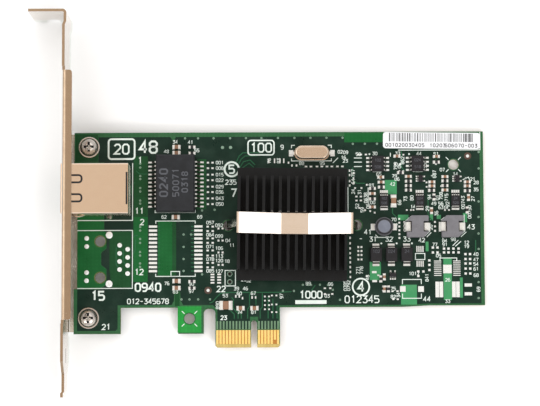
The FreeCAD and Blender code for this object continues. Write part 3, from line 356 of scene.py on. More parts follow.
def rectangle(x0, y0, x1, y1):
    return [(x0, y0), (x1, y0), (x1, y1), (x0, y1)]


def around(x, y, wide, tall):
    return rectangle(x - wide / 2, y - tall / 2, x + wide / 2, y + tall / 2)


def disc(x, y, radius, sides):
    turns = [2 * math.pi * i / sides for i in range(sides)]
    return [(x + radius * math.cos(turn), y + radius * math.sin(turn)) for turn in turns]


# low and high of a thin layer on each face of the board
def bothFaces(thick):
    return (boardFace, boardFace + thick), (boardBack - thick, boardBack)


# the middle of a node's top, in mm
def topMiddle(nodeName):
    low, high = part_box(nodeName)
    return (low.x + high.x) / 2 / mm, (low.y + high.y) / 2 / mm, high.z / mm


def grid(columns, rows):
    return [(x, y) for x in columns for y in rows]


def steps(x, y, count, stepX, stepY):
    return [(x + i * stepX, y + i * stepY) for i in range(count)]


def addLoop(shape, outline, z):
    return [shape.verts.new((x, y, z)) for x, y in outline]


def addBands(shape, loops):
    count = len(loops[0])
    for near, far in zip(loops, loops[1:]):
        for i in range(count):
            shape.faces.new((near[i], near[(i + 1) % count], far[(i + 1) % count], far[i]))


# a flat pad on an outline, its top edge sloped; a corner draws in further than a side
def addPad(shape, outline, low, high, slope, cornerDraw=1.3, mostDrawn=0.45):
    centre = Vector((sum(p[0] for p in outline), sum(p[1] for p in outline))) / len(outline)
    drawn = []
    for x, y in outline:
        away = Vector((x, y)) - centre
        drawn.append(centre + away * (1 - min(mostDrawn, slope * cornerDraw / max(away.length, 0.01))))
    loops = [addLoop(shape, outline, low), addLoop(shape, outline, high - slope), addLoop(shape, drawn, high)]
    addBands(shape, loops)
    shape.faces.new(loops[-1])
    shape.faces.new(loops[0][::-1])


def addRing(shape, x, y, inner, outer, low, high, sides):
    corners = ((inner, low), (outer, low), (outer, high), (inner, high))
    loops = [addLoop(shape, disc(x, y, radius, sides), z) for radius, z in corners]
    addBands(shape, loops + loops[:1])


def addDome(shape, x, y, radius, low, high, sides):
    levels = ((1.0, 0.0), (0.86, 0.45), (0.55, 0.85))        # shares of the radius and of the rise
    loops = [addLoop(shape, disc(x, y, radius * share, sides), low + (high - low) * rise)
             for share, rise in levels]
    tip = shape.verts.new((x, y, high))
    addBands(shape, loops)
    for i in range(sides):
        shape.faces.new((loops[-1][i], loops[-1][(i + 1) % sides], tip))
    shape.faces.new(loops[0][::-1])


def addRibbon(shape, points, width, low, high, closed=False):
    spots = [Vector(p) for p in points]
    count = len(spots)
    loops = []
    for i, spot in enumerate(spots):
        before = spots[i - 1] if closed or i else None
        after = spots[(i + 1) % count] if closed or i < count - 1 else None
        into = (spot - before).normalized() if before is not None else (after - spot).normalized()
        out = (after - spot).normalized() if after is not None else into
        middle = (into + out).normalized() if (into + out).length > 1e-6 else out
        across = Vector((-middle.y, middle.x))
        across *= width / 2 / max(0.35, across.dot(Vector((-out.y, out.x))))     # no spike at a sharp bend
        left, right = spot + across, spot - across
        loops.append([shape.verts.new((*side, z)) for side, z in (
            (left, low), (left, high), (right, high), (right, low))])
    addBands(shape, loops + loops[:1] if closed else loops)
    if not closed:
        shape.faces.new(loops[0][::-1])
        shape.faces.new(loops[-1])


def meshOf(nodeName):
    shape = bmesh.new()
    shape.from_mesh(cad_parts[nodeName].data)
    bmesh.ops.remove_doubles(shape, verts=shape.verts, dist=1e-6)
    return shape


# the round holes through the board, as x, y and radius
def boardHoles():
    shape = meshOf("circuit_board")
    face = {f for f in shape.faces if abs(f.calc_center_median().z / mm - boardFace) < 0.01}
    links = {}
    for edge in shape.edges:
        if sum(f in face for f in edge.link_faces) == 1:
            for vert in edge.verts:
                links.setdefault(vert, []).append(edge.other_vert(vert))
    found, seen = [], set()
    for start in links:
        loop, queue = [], [start]
        while queue:
            here = queue.pop()
            if here not in seen:
                seen.add(here)
                loop.append((here.co.x / mm, here.co.y / mm))
                queue = [v for v in links[here] if v not in seen][:1]
        if loop:
            x, y = sum(p[0] for p in loop) / len(loop), sum(p[1] for p in loop) / len(loop)
            radii = [math.hypot(px - x, py - y) for px, py in loop]
            if max(radii) - min(radii) < 0.1:
                found.append((x, y, sum(radii) / len(radii)))
    shape.free()
    return found


# the box of each separate solid in a node, in mm
def solidBoxes(nodeName):
    shape = meshOf(nodeName)
    boxes, seen = [], set()
    for start in shape.verts:
        queue, spots = [start], []
        while queue:
            vert = queue.pop()
            if vert not in seen:
                seen.add(vert)
                spots.append(vert.co / mm)
                queue += [edge.other_vert(vert) for edge in vert.link_edges]
        if spots:
            boxes.append(tuple(pick(s[axis] for s in spots) for pick in (min, max) for axis in range(3)))
    shape.free()
    return boxes


holes = boardHoles()
print("board holes found:", len(holes))


def inside(x, y, outline):
    crossings = False
    for (ax, ay), (bx, by) in zip(outline, outline[1:] + outline[:1]):
        if (ay > y) != (by > y) and x < ax + (y - ay) * (bx - ax) / (by - ay):
            crossings = not crossings
    return crossings


# a thin sheet over the board, open round each hole
def maskSheet(name, areas, low, high, finish, holeRim=0.25):
    curve = bpy.data.curves.new(name, "CURVE")
    curve.dimensions = "2D"
    curve.fill_mode = "BOTH"
    curve.extrude = (high - low) / 2
    openings = [disc(x, y, radius + holeRim, 28 if radius > 1 else 16)
                for area in areas for x, y, radius in holes if inside(x, y, area)]
    for outline in areas + openings:
        spline = curve.splines.new("POLY")
        spline.points.add(len(outline) - 1)
        for point, (x, y) in zip(spline.points, outline):
            point.co = (x, y, 0, 1)
        spline.use_cyclic_u = True
    holder = bpy.data.objects.new(name, curve)
    mesh = bpy.data.meshes.new_from_object(holder)
    bpy.data.objects.remove(holder)
    bpy.data.curves.remove(curve)
    shape = bmesh.new()
    shape.from_mesh(mesh)
    bpy.data.meshes.remove(mesh)
    bmesh.ops.remove_doubles(shape, verts=shape.verts, dist=1e-4)
    bmesh.ops.translate(shape, vec=(0, 0, (low + high) / 2), verts=shape.verts)
    makePiece(name, shape, finish)


# solder mask over copper: the board's own colour is the mask over bare laminate
maskLook = dict(
    planeHigh=0.02, zoneHigh=0.03, patchHigh=0.04,
    plane=[[(-55.4, 5.3), (-43.3, 5.3), (-42.7, 5.9), (-42.7, 13.3), (-25.8, 13.3), (-25.1, 14.6),
            (-24.9, 17.6), (-23.2, 17.6), (-22.9, 14.6), (-22.2, 13.3), (-13.0, 13.3), (-11.5, 12.0),
            (-11.5, 5.7), (-1.3, 5.7), (-1.3, 9.6), (1.3, 9.6), (1.3, 5.7), (7.7, 5.7), (7.7, 13.1),
            (46.9, 13.1), (55.0, 13.5), (71.2, 13.5), (71.2, 66.3), (-24.5, 66.3), (-25.3, 64.7),
            (-26.2, 66.3), (-48.9, 66.3), (-48.9, 58.3), (-47.0, 58.3), (-47.0, 36.6), (-46.2, 36.2),
            (-46.2, 31.2), (-47.9, 29.8), (-47.9, 26.0), (-46.2, 24.6), (-46.2, 19.8), (-48.3, 18.3),
            (-55.4, 18.3)]],
    zones=[[(-55.3, 18.6), (-48.4, 18.6), (-46.3, 20.0), (-46.3, 24.5), (-48.0, 25.9), (-48.0, 29.9),
            (-46.3, 31.3), (-46.3, 36.2), (-47.1, 36.7), (-47.1, 41.1), (-55.3, 41.1)],
           rectangle(-30.1, 22.5, -25.6, 39.6), rectangle(28.6, 64.4, 41.5, 67.3),
           rectangle(-37.8, 20.6, -33.3, 41.0)],
    dim=[[(-45.3, 24.5), (-44.6, 18.8), (-38.6, 18.8), (-38.6, 36.5), (-44.8, 36.5), (-45.3, 33.5)],
         rectangle(-37.8, 41.0, -33.3, 60.2), rectangle(-25.6, 22.5, -24.4, 39.6),
         rectangle(-56.1, 58.5, -49.0, 67.2),
         rectangle(-17.9, 43.4, -14.9, 59.2), rectangle(-24.8, 13.0, -23.3, 17.6)],
    arm=[rectangle(-23.9, 4.7, -16.5, 12.9)],
    patches=[rectangle(41.3, 47.9, 45.0, 52.4), rectangle(36.3, 20.9, 39.8, 26.6),
             rectangle(45.3, 39.7, 48.6, 41.4), rectangle(55.3, 39.7, 56.3, 41.6),
             rectangle(57.5, 40.0, 58.8, 41.3), rectangle(65.7, 39.0, 67.0, 41.9),
             rectangle(46.0, 13.2, 51.0, 19.4), rectangle(59.4, 14.6, 62.0, 27.8),
             rectangle(53.9, 29.9, 54.8, 32.9), rectangle(64.5, 15.3, 65.4, 21.6)])
maskSheet("planeMaskFront", maskLook["plane"], boardFace, maskLook["planeHigh"], "planeMask")
maskSheet("zoneMaskFront", maskLook["zones"], boardFace, maskLook["zoneHigh"], "zoneMask")
maskSheet("dimMaskFront", maskLook["dim"], boardFace, maskLook["zoneHigh"], "dimMask")
maskSheet("armMaskFront", maskLook["arm"], boardFace, maskLook["zoneHigh"], "armMask")
maskSheet("pourMaskFront", maskLook["patches"], boardFace, maskLook["patchHigh"], "pourMask")

# the solder side: plane with a bare border and a gap along the isolation transformer
backLook = dict(thick=0.02, plane=[
    [(-45.5, 18.6), (-45.5, 58.0), (-55.3, 58.0), (-55.3, 66.6), (-29.0, 66.6), (-29.0, 13.4), (-42.6, 13.4),
     (-42.6, 5.3), (-55.3, 5.3), (-55.3, 18.6)],
    [(-27.0, 13.4), (-27.0, 66.6), (71.3, 66.6), (71.3, 13.8), (55.0, 13.8), (46.9, 13.4), (7.2, 13.4),
     (7.2, 9.0), (-11.2, 9.0), (-11.2, 12.6), (-12.8, 13.4)]])
maskSheet("planeMaskBack", backLook["plane"], boardBack - backLook["thick"], boardBack, "planeMask")
print("mask laid")

# copper under the mask that shows as lighter lines
traceLook = dict(width=0.28, high=0.045, padTailWidth=0.3, padTail=1.0, lines=[
    [(-5.9, 57.3), (-4.6, 60.1), (-3.4, 61.2), (2.0, 61.2)],
    [(-5.2, 56.7), (-3.9, 59.2), (-2.7, 60.2), (1.2, 60.2)],
    [(-4.4, 56.4), (-3.2, 58.4), (-1.1, 58.9), (0.5, 57.3)], [(-3.6, 56.4), (-1.4, 57.9), (0.0, 56.6)],
    [(-37.0, 55.6), (-35.9, 54.6), (-33.3, 54.6)], [(-37.4, 52.0), (-38.3, 51.0), (-38.3, 47.8)],
    [(-38.0, 34.4), (-37.4, 35.2), (-36.4, 35.2)], [(-38.0, 29.2), (-37.2, 30.6), (-37.2, 33.9)],
    [(-41.4, 33.0), (-43.2, 31.2), (-43.2, 26.0), (-41.6, 24.0)],
    [(-41.0, 31.0), (-41.0, 27.0), (-38.9, 25.0)],
    [(-13.9, 13.9), (-13.0, 14.2), (-11.8, 15.6), (-10.5, 16.9), (-8.0, 17.2), (8.1, 17.2)],
    [(8.1, 17.2), (11.8, 17.4)], [(17.9, 17.6), (19.2, 19.4)], [(0.6, 16.4), (0.6, 11.0)],
    [(-1.4, 16.9), (-1.4, 12.8), (-2.0, 12.0), (-2.0, 9.0)], [(-7.9, 12.0), (-6.2, 10.4), (-6.2, 9.0)],
    [(-7.0, 15.7), (-6.5, 15.0), (-6.5, 12.2), (-5.0, 10.6), (-5.0, 9.0)],
    [(-5.6, 11.9), (-4.0, 10.2), (-4.0, 9.0)], [(2.6, 16.9), (2.6, 12.6), (1.9, 11.8), (1.9, 9.0)],
    [(4.4, 16.0), (4.4, 9.0)], [(5.9, 15.2), (5.9, 9.0)], [(7.2, 14.0), (7.2, 9.0)],
    [(31.2, 56.4), (31.2, 52.6), (32.4, 51.4), (35.0, 51.4)], [(30.7, 40.8), (30.7, 36.5)],
    [(43.6, 45.0), (43.6, 41.9), (44.9, 40.6)], [(46.6, 61.6), (46.6, 56.4), (47.4, 55.4)],
    [(57.4, 60.9), (57.4, 57.0)], [(69.6, 33.4), (69.6, 29.8)],
    [(54.8, 47.6), (54.8, 41.0), (56.3, 39.4)]])
shape = bmesh.new()
for line in traceLook["lines"]:
    addRibbon(shape, line, traceLook["width"], boardFace, traceLook["high"])
for side, rowX in ((-1, -30.4), (1, -18.7)):
    for x, y in steps(rowX, 23.97, 12, 0, 1.273):
        addRibbon(shape, [(x, y), (x - side * traceLook["padTail"], y)], traceLook["padTailWidth"], boardFace,
                  traceLook["high"])
makePiece("tracesFront", shape, "traceMask")


def clearOfHoles(points, gap, tries=12):
    for (ax, ay), (bx, by) in zip(points, points[1:]):
        for i in range(tries + 1):
            x, y = ax + (bx - ax) * i / tries, ay + (by - ay) * i / tries
            if any(math.hypot(x - hx, y - hy) < radius + gap for hx, hy, radius in holes):
                return False
    return True


backTraceLook = dict(tries=64, across=(-26, 64), rows=[16, 24, 32, 40, 48, 56, 63], wander=(-1.5, 1.5),
                     run=(3, 14), bendAt=0.4, drops=[-2, -1, 1, 2], farEnd=70, width=0.25, thick=0.02,
                     lap=0.005, gap=0.5)
backMask = boardBack - backLook["thick"]
shape = bmesh.new()
for i in range(backTraceLook["tries"]):
    x = random.uniform(*backTraceLook["across"])
    y = random.choice(backTraceLook["rows"]) + random.uniform(*backTraceLook["wander"])
    run = random.uniform(*backTraceLook["run"])
    drop = random.choice(backTraceLook["drops"])
    bend, end = x + run * backTraceLook["bendAt"], x + run + abs(drop)
    path = [(x, y), (bend, y), (bend + abs(drop), y + drop), (end, y + drop)]
    if clearOfHoles(path, backTraceLook["gap"]) and end < backTraceLook["farEnd"]:
        addRibbon(shape, path, backTraceLook["width"], backMask - backTraceLook["thick"],
                  backMask + backTraceLook["lap"])
makePiece("tracesBack", shape, "traceMask")


# the pad under a lead's foot: it grows all round and reaches out away from the nearest body
def footPad(lead, bodies, foot, grow, reach):
    x, y = (lead[0] + lead[3]) / 2, (lead[1] + lead[4]) / 2
    near = min(bodies, key=lambda b: math.hypot((b[0] + b[3]) / 2 - x, (b[1] + b[4]) / 2 - y))
    offX, offY = x - (near[0] + near[3]) / 2, y - (near[1] + near[4]) / 2
    x0, y0, x1, y1 = lead[0] - grow, lead[1] - grow, lead[3] + grow, lead[4] + grow
    if abs(offX) - (near[3] - near[0]) / 2 > abs(offY) - (near[4] - near[1]) / 2:
        if offX > 0:
            x0, x1 = (x1 - foot - grow if foot else x0), x1 + reach
        else:
            x0, x1 = x0 - reach, (x0 + foot + grow if foot else x1)
    elif offY > 0:
        y0, y1 = (y1 - foot - grow if foot else y0), y1 + reach
    else:
        y0, y1 = y0 - reach, (y0 + foot + grow if foot else y1)
    return rectangle(x0, y0, x1, y1)


# solder under every fitted lead and end cap: body, foot length, grow and outward reach
padLook = dict(high=0.07, bevel=0.04, fitted={
    "capacitor_ends": ("capacitor_bodies", 0, 0.08, 0.22),
    "resistor_ends": ("resistor_bodies", 0, 0.08, 0.22),
    "bulk_capacitor_ends": ("bulk_capacitor_bodies", 0, 0.12, 0.3),
    "transformer_leads": ("transformer_body", 1.3, 0.02, 0.2),
    "memory_leads": ("memory_bodies", 0.8, 0.1, 0.5), "diode_leads": ("diode_bodies", 0.8, 0.04, 0.04),
    "switch_pins": ("switch_bodies", 0.8, 0.08, 0.2),
    "small_chip_pins": ("small_chip_bodies", 0.4, 0.06, 0.25),
    "round_coil_terminals": ("round_coil", 1.0, 0.1, 0.25),
    "square_coil_terminals": ("square_coils", 0, 0.1, 0.55),
    "crystal_leads": ("crystal_can", 1.3, 0.5, -0.4)})
shape = bmesh.new()
for leadNode, (bodyNode, foot, grow, reach) in padLook["fitted"].items():
    bodies = solidBoxes(bodyNode)
    for lead in solidBoxes(leadNode):
        addPad(shape, footPad(lead, bodies, foot, grow, reach), boardFace, padLook["high"], padLook["bevel"])
makePiece("solderPads", shape, "solder")

# bare pads of parts that aren't fitted: size of one pad and the places of its fellows
barePads = [
    (2.6, 0.72, steps(-31.67, 23.97, 12, 0, 1.273) + steps(-17.4, 23.97, 12, 0, 1.273)),
    (0.7, 0.55, grid((-14.4, -12.95), (58.1, 56.35, 54.3, 52.55, 50.5, 48.8, 46.8, 45.0))),
    (0.75, 0.55, grid((-14.5, -12.9), (37.9, 36.5, 34.2, 32.8, 30.4, 28.8, 26.5, 25.1))),
    (0.6, 0.6, grid((-11.1, -9.8), (37.3, 33.5, 29.75, 25.85))),
    (1.2, 0.5, grid((-13.0, -10.9), (22.85, 22.0, 21.15, 20.25))),
    (0.5, 0.7, grid((30.2,), (55.4, 54.0, 52.1, 50.7, 34.2, 32.5, 30.9, 29.35, 27.9, 26.5, 25.0, 23.5,
                              21.9))),
    (0.8, 0.5, grid((16.5, 18.05, 19.95, 21.5, 23.1, 24.65, 26.4, 27.95), (56.75,))),
    (0.7, 0.5, grid((32.3, 33.7), (47.2, 45.95)) + grid((33.0, 33.8, 35.4), (60.5,))),
    (0.6, 0.6, grid((32.75, 33.75), (31.3, 30.05, 28.8, 27.4))),
    (0.35, 1.9, grid((51.15, 51.78, 52.41, 53.04), (30.6, 26.0))),
    (0.75, 0.7, grid((56.15, 57.6), (31.05, 29.5)) + grid((59.65, 61.05, 62.6, 64.2), (30.7, 29.5))
     + grid((66.35, 67.8), (28.95, 27.4, 26.0, 24.4, 22.85)) + grid((55.0,), (27.0, 25.6, 24.0))
     + [(51.5, 23.55), (53.1, 23.55), (51.5, 22.15)]),
    (2.3, 0.26, grid((57.6, 63.6), (22.3, 22.95, 23.6, 24.25, 24.9, 25.55, 26.2, 26.8))),
    (2.7, 2.7, [(60.65, 24.3)]), (1.15, 4.9, grid((57.4, 58.65, 62.6, 63.85), (17.9,))),
    (2.3, 1.0, [(67.1, 19.25), (67.1, 16.5)]), (1.8, 1.8, [(46.6, 18.1), (52.3, 18.05)]),
    (1.5, 0.7, [(38.1, 25.6), (37.7, 23.4), (37.8, 20.6)]),
    (0.55, 0.5, grid((48.1, 49.4, 50.2), (42.9,)) + grid((60.1, 61.35), (42.85,))),
    (0.6, 0.6, steps(45.7, 40.1, 6, 0, -1.2) + steps(47.3, 39.1, 3, 0, -1.25)
     + steps(56.9, 39.1, 3, 0, -1.4)),
    (0.55, 0.55, [(35.0, 42.9), (36.6, 42.6), (38.0, 42.1), (31.9, 49.9), (33.9, 49.9), (35.6, 50.9)]),
    (0.5, 0.7, [(12.1, 57.1), (13.5, 57.1), (11.0, 58.0), (31.4, 54.6), (31.4, 53.0), (31.4, 51.4)]),
    (0.4, 1.5, grid((4.8, 6.6, 8.3, 9.5), (58.6,))),
    (0.55, 0.5, grid((3.4, 4.7), (15.9, 14.6, 13.2, 11.9)) + grid((5.6, 7.0), (16.2, 13.4, 11.0))),
    (0.45, 0.8, [(-5.7, 16.0), (-4.6, 16.0), (-3.6, 15.4), (-0.6, 15.6), (0.5, 15.6)]),
    (0.7, 0.5, [(22.2, 18.4), (23.9, 18.4), (22.2, 16.6), (24.5, 16.6), (40.5, 18.9), (41.6, 18.9),
                (40.5, 17.6), (43.4, 17.4), (44.9, 17.4), (43.6, 14.9), (45.0, 14.9), (35.4, 22.2),
                (39.0, 22.4)]),
    (0.55, 0.5, grid((54.4, 55.6), (51.6, 50.2)) + grid((44.6, 46.2, 57.4), (57.4,))
     + [(59.0, 50.4), (60.2, 50.4), (45.9, 55.2), (47.1, 55.2), (46.0, 60.4), (47.2, 60.4), (33.2, 43.6)])]
shape = bmesh.new()
for wide, tall, places in barePads:
    for x, y in places:
        addPad(shape, around(x, y, wide, tall), boardFace, padLook["high"], padLook["bevel"])
makePiece("barePads", shape, "solder")

# solder that fills the spare socket's holes, copper round its pegs' holes, and the jumper's rings, each with
# a ring of painted shade at the hole's edge
spareLook = dict(right=-39.0, low=18.6, high=37.0, pegRadius=1.2, rise=0.18, lap=0.29, smallHole=0.6,
                 smallLap=0.32, pegRing=0.26, pegRingHigh=0.045)
jumperLook = dict(left=-20, most=0.6, shade=(0.01, 0.16), ring=(0.18, 0.36), high=0.05)
filled, rings, pinRings, pinShade = bmesh.new(), bmesh.new(), bmesh.new(), bmesh.new()
for x, y, radius in holes:
    spare = x < spareLook["right"] and spareLook["low"] < y < spareLook["high"]
    if spare and radius < spareLook["pegRadius"]:
        wide = radius + (spareLook["lap"] if radius > spareLook["smallHole"] else spareLook["smallLap"])
        addDome(filled, x, y, wide, boardFace, spareLook["rise"], 20)
        addDome(filled, x, y, wide, boardBack, boardBack - spareLook["rise"], 20)
    elif spare:
        addRing(rings, x, y, radius, radius + spareLook["pegRing"], boardFace, spareLook["pegRingHigh"], 32)
    elif radius < jumperLook["most"] and x > jumperLook["left"]:
        for low, high in bothFaces(jumperLook["high"]):
            for ring, (inner, outer) in ((pinShade, jumperLook["shade"]), (pinRings, jumperLook["ring"])):
                addRing(ring, x, y, radius + inner, radius + outer, low, high, 24)
makePiece("spareSocketSolder", filled, "solder")
makePiece("holeRings", rings, "ringCopper")
makePiece("jumperRings", pinRings, "viaTin")
makePiece("jumperShade", pinShade, "paintedShade")

viaLook = dict(outer=0.34, inner=0.12, high=0.05, testPads=[(-9.8, 62.9), (-7.25, 62.9)], testRadius=0.5,
               testHigh=0.06, testBevel=0.03, places=(
    grid((-35.7,), (57.9, 56.65, 53.95, 53.0, 50.15, 49.05, 46.2, 45.25, 37.85, 36.75, 34.1, 32.85, 30.0,
                    28.9, 26.4, 25.3))
    + grid((-21.6, -17.5, -12.6, -7.4, -2.4, 2.5, 7.7, 12.9, 17.95, 23.0, 28.05), (65.85,))
    + grid((-22.7, -20.2, -17.5, -13.8), (15.07,)) + grid((-22.05,), (35.45, 31.55, 27.75, 24.0))
    + [(-19.7, 35.45), (-16.25, 43.0), (-16.25, 22.9), (-12.3, 43.2), (31.3, 63.9), (35.1, 63.9),
       (38.9, 63.9), (9.05, 17.65), (12.5, 17.6), (15.3, 19.5), (16.9, 19.5), (17.85, 19.5), (20.65, 19.5),
       (23.15, 19.45), (24.7, 17.9), (26.9, 14.75), (70.9, 61.15), (70.85, 55.95), (70.7, 45.5),
       (70.6, 40.6), (70.55, 35.4), (70.5, 30.55), (70.35, 20.15), (70.3, 15.15)]))
shape = bmesh.new()
for x, y in viaLook["places"]:
    for low, high in bothFaces(viaLook["high"]):
        addRing(shape, x, y, viaLook["inner"], viaLook["outer"], low, high, 14)
for x, y in viaLook["testPads"]:
    addPad(shape, disc(x, y, viaLook["testRadius"], 20), boardFace, viaLook["testHigh"], viaLook["testBevel"])
makePiece("vias", shape, "viaTin")

# aiming marks: a bright disc in a bare ring
fiducialLook = dict(places=[(-14.38, 17.87), (67.41, 59.9)], disc=0.5, high=0.06, bevel=0.03,
                    ground=(0.48, 1.15), groundHigh=0.035)
fiducials, grounds = bmesh.new(), bmesh.new()
for x, y in fiducialLook["places"]:
    addPad(fiducials, disc(x, y, fiducialLook["disc"], 24), boardFace, fiducialLook["high"],
           fiducialLook["bevel"])
    addRing(grounds, x, y, *fiducialLook["ground"], boardFace, fiducialLook["groundHigh"], 28)
makePiece("fiducialPads", fiducials, "solder")
makePiece("fiducialGrounds", grounds, "bareBrown")

# pads under the mask, above the gold contacts
coveredLook = dict(gap=0.25, top=8.25, narrower=0.08, high=0.045, bevel=0.02)
shape = bmesh.new()
for x0, y0, z0, x1, y1, z1 in solidBoxes("edge_contacts_front"):
    inset = coveredLook["narrower"]
    addPad(shape, rectangle(x0 + inset, y1 + coveredLook["gap"], x1 - inset, coveredLook["top"]), boardFace,
           coveredLook["high"], coveredLook["bevel"])
makePiece("coveredPads", shape, "coveredPad")
print("pads and vias placed")

# plain running numbers and lines in white ink: each digit is drawn 1 wide and 1.6 high
strokes = {
    "0": [[(0.25, 0), (0, 0.3), (0, 1.3), (0.25, 1.6), (0.75, 1.6), (1, 1.3), (1, 0.3), (0.75, 0),
           (0.25, 0)]],
    "1": [[(0.25, 1.3), (0.6, 1.6), (0.6, 0)]],
    "2": [[(0, 1.3), (0.3, 1.6), (0.75, 1.6), (1, 1.3), (1, 1.0), (0, 0), (1, 0)]],
    "3": [[(0, 1.6), (1, 1.6), (0.45, 0.95), (0.8, 0.9), (1, 0.65), (1, 0.25), (0.75, 0), (0.25, 0),
           (0, 0.2)]],
    "4": [[(0.72, 0), (0.72, 1.6), (0, 0.5), (1, 0.5)]],
    "5": [[(1, 1.6), (0, 1.6), (0, 0.9), (0.7, 0.95), (1, 0.7), (1, 0.25), (0.75, 0), (0, 0)]],
    "6": [[(0.9, 1.6), (0.3, 1.6), (0, 1.2), (0, 0.25), (0.25, 0), (0.75, 0), (1, 0.25), (1, 0.65),
           (0.75, 0.9), (0.05, 0.85)]],
    "7": [[(0, 1.6), (1, 1.6), (0.35, 0)]],
    "8": [[(0.25, 0.85), (0, 1.1), (0, 1.35), (0.25, 1.6), (0.75, 1.6), (1, 1.35), (1, 1.1), (0.75, 0.85),
           (0.25, 0.85), (0, 0.6), (0, 0.25), (0.25, 0), (0.75, 0), (1, 0.25), (1, 0.6), (0.75, 0.85)]],
    "9": [[(0.1, 0), (0.7, 0), (1, 0.4), (1, 1.35), (0.75, 1.6), (0.25, 1.6), (0, 1.35), (0, 0.95),
           (0.25, 0.72), (0.95, 0.76)]],
    "-": [[(0.1, 0.8), (0.9, 0.8)]], " ": []}


def turned(x, y, degrees):
    c, s = math.cos(math.radians(degrees)), math.sin(math.radians(degrees))
    return x * c - y * s, x * s + y * c


def addNumber(shape, text, x, y, height, turn, width, low, high, pitch=0.92):
    unit = height / 1.6
    step = unit + pitch * height * 0.28
    start = -(step * (len(text) - 1) + unit) / 2
    for i, digit in enumerate(text):
        for line in strokes[digit]:
            flat = [turned(start + i * step + px * unit, (py - 0.8) * unit, turn) for px, py in line]
            addRibbon(shape, [(x + px, y + py) for px, py in flat], width, low, high)


silkLook = dict(high=0.062, bevel=0.02, fine=0.17, line=0.24, height=0.95, firstNumber=1, numberStep=7,
                frameCorner=0.9, dot=0.3)
silkLines = [
    [(-55.4, 39.95), (-38.1, 39.95), (-38.1, 58.05)],
    [(-55.4, 36.8), (-38.1, 36.8), (-38.1, 18.6), (-55.4, 18.6)],
    [(-31.0, 43.2), (-31.0, 42.4), (-18.4, 42.4), (-18.4, 43.2)],
    [(-30.8, 38.9), (-30.8, 39.7), (-18.4, 39.7), (-18.4, 38.9)],
    [(-30.8, 23.1), (-30.8, 22.3), (-18.4, 22.3), (-18.4, 23.1)],
    [(-26.0, 22.3), (-26.0, 23.85), (-23.3, 23.85), (-23.3, 22.3)],
    [(-9.05, 19.25), (-5.8, 19.25), (-5.8, 24.1), (-9.05, 24.1), (-9.05, 19.1)],
    [(13.0, 63.5), (11.95, 63.5), (11.95, 62.6)],
    [(11.95, 59.3), (11.95, 58.55), (24.5, 58.55), (24.5, 59.3)],
    [(24.5, 62.6), (24.5, 63.5), (23.4, 63.5)], [(25.0, 57.9), (26.6, 59.5)],
    [(29.65, 42.3), (29.65, 50.2)], [(37.5, 55.05), (40.4, 55.05)], [(50.1, 55.05), (53.3, 55.05)],
    [(45.55, 61.85), (71.35, 61.85), (71.35, 67.5)], [(47.7, 39.5), (49.4, 40.9)],
    [(53.7, 34.7), (55.3, 36.25)], [(58.8, 39.7), (60.05, 40.65)], [(64.4, 34.65), (66.3, 36.2)],
    [(65.0, 34.4), (66.7, 35.9)], [(54.3, 34.4), (55.7, 35.8)], [(38.0, 34.3), (43.8, 34.3)],
    [(38.2, 35.1), (38.9, 34.5)], [(50.65, 27.3), (53.6, 27.3), (53.6, 29.2), (50.65, 29.2), (50.65, 27.2)],
    [(58.35, 26.9), (58.35, 27.75), (63.6, 27.75), (63.6, 26.9)],
    [(46.5, 19.6), (46.5, 21.05), (52.4, 21.05), (52.4, 19.6)],
    [(46.5, 16.6), (46.5, 15.15), (52.4, 15.15), (52.4, 16.6)], [(63.2, 31.4), (65.0, 33.0)],
    [(62.4, 31.6), (64.2, 33.4)], [(59.2, 34.0), (60.0, 33.2)], [(31.6, 59.4), (34.1, 59.4)],
    [(31.6, 58.1), (34.1, 58.1)], [(31.6, 56.7), (34.1, 56.7)], [(65.8, 52.4), (67.6, 53.2), (68.0, 52.2)],
    [(66.1, 41.4), (66.1, 37.6)], [(33.2, 33.9), (33.9, 33.9)], [(36.0, 50.0), (36.0, 44.2)],
    [(43.1, 61.0), (43.1, 59.8)], [(57.1, 54.4), (55.9, 53.6)]]
# four ticks round each tooling hole: x, y, inner and outer reach
for x, y, near, far in ((-20.2, 9.04, 2.2, 3.4), (62.89, 57.22, 2.1, 3.3)):
    for turn in (45, 135, 225, 315):
        (nearX, nearY), (farX, farY) = turned(near, 0, turn), turned(far, 0, turn)
        silkLines.append([(x + nearX, y + nearY), (x + farX, y + farY)])
shape = bmesh.new()
for line in silkLines:
    addRibbon(shape, line, silkLook["line"], boardFace, silkLook["high"])

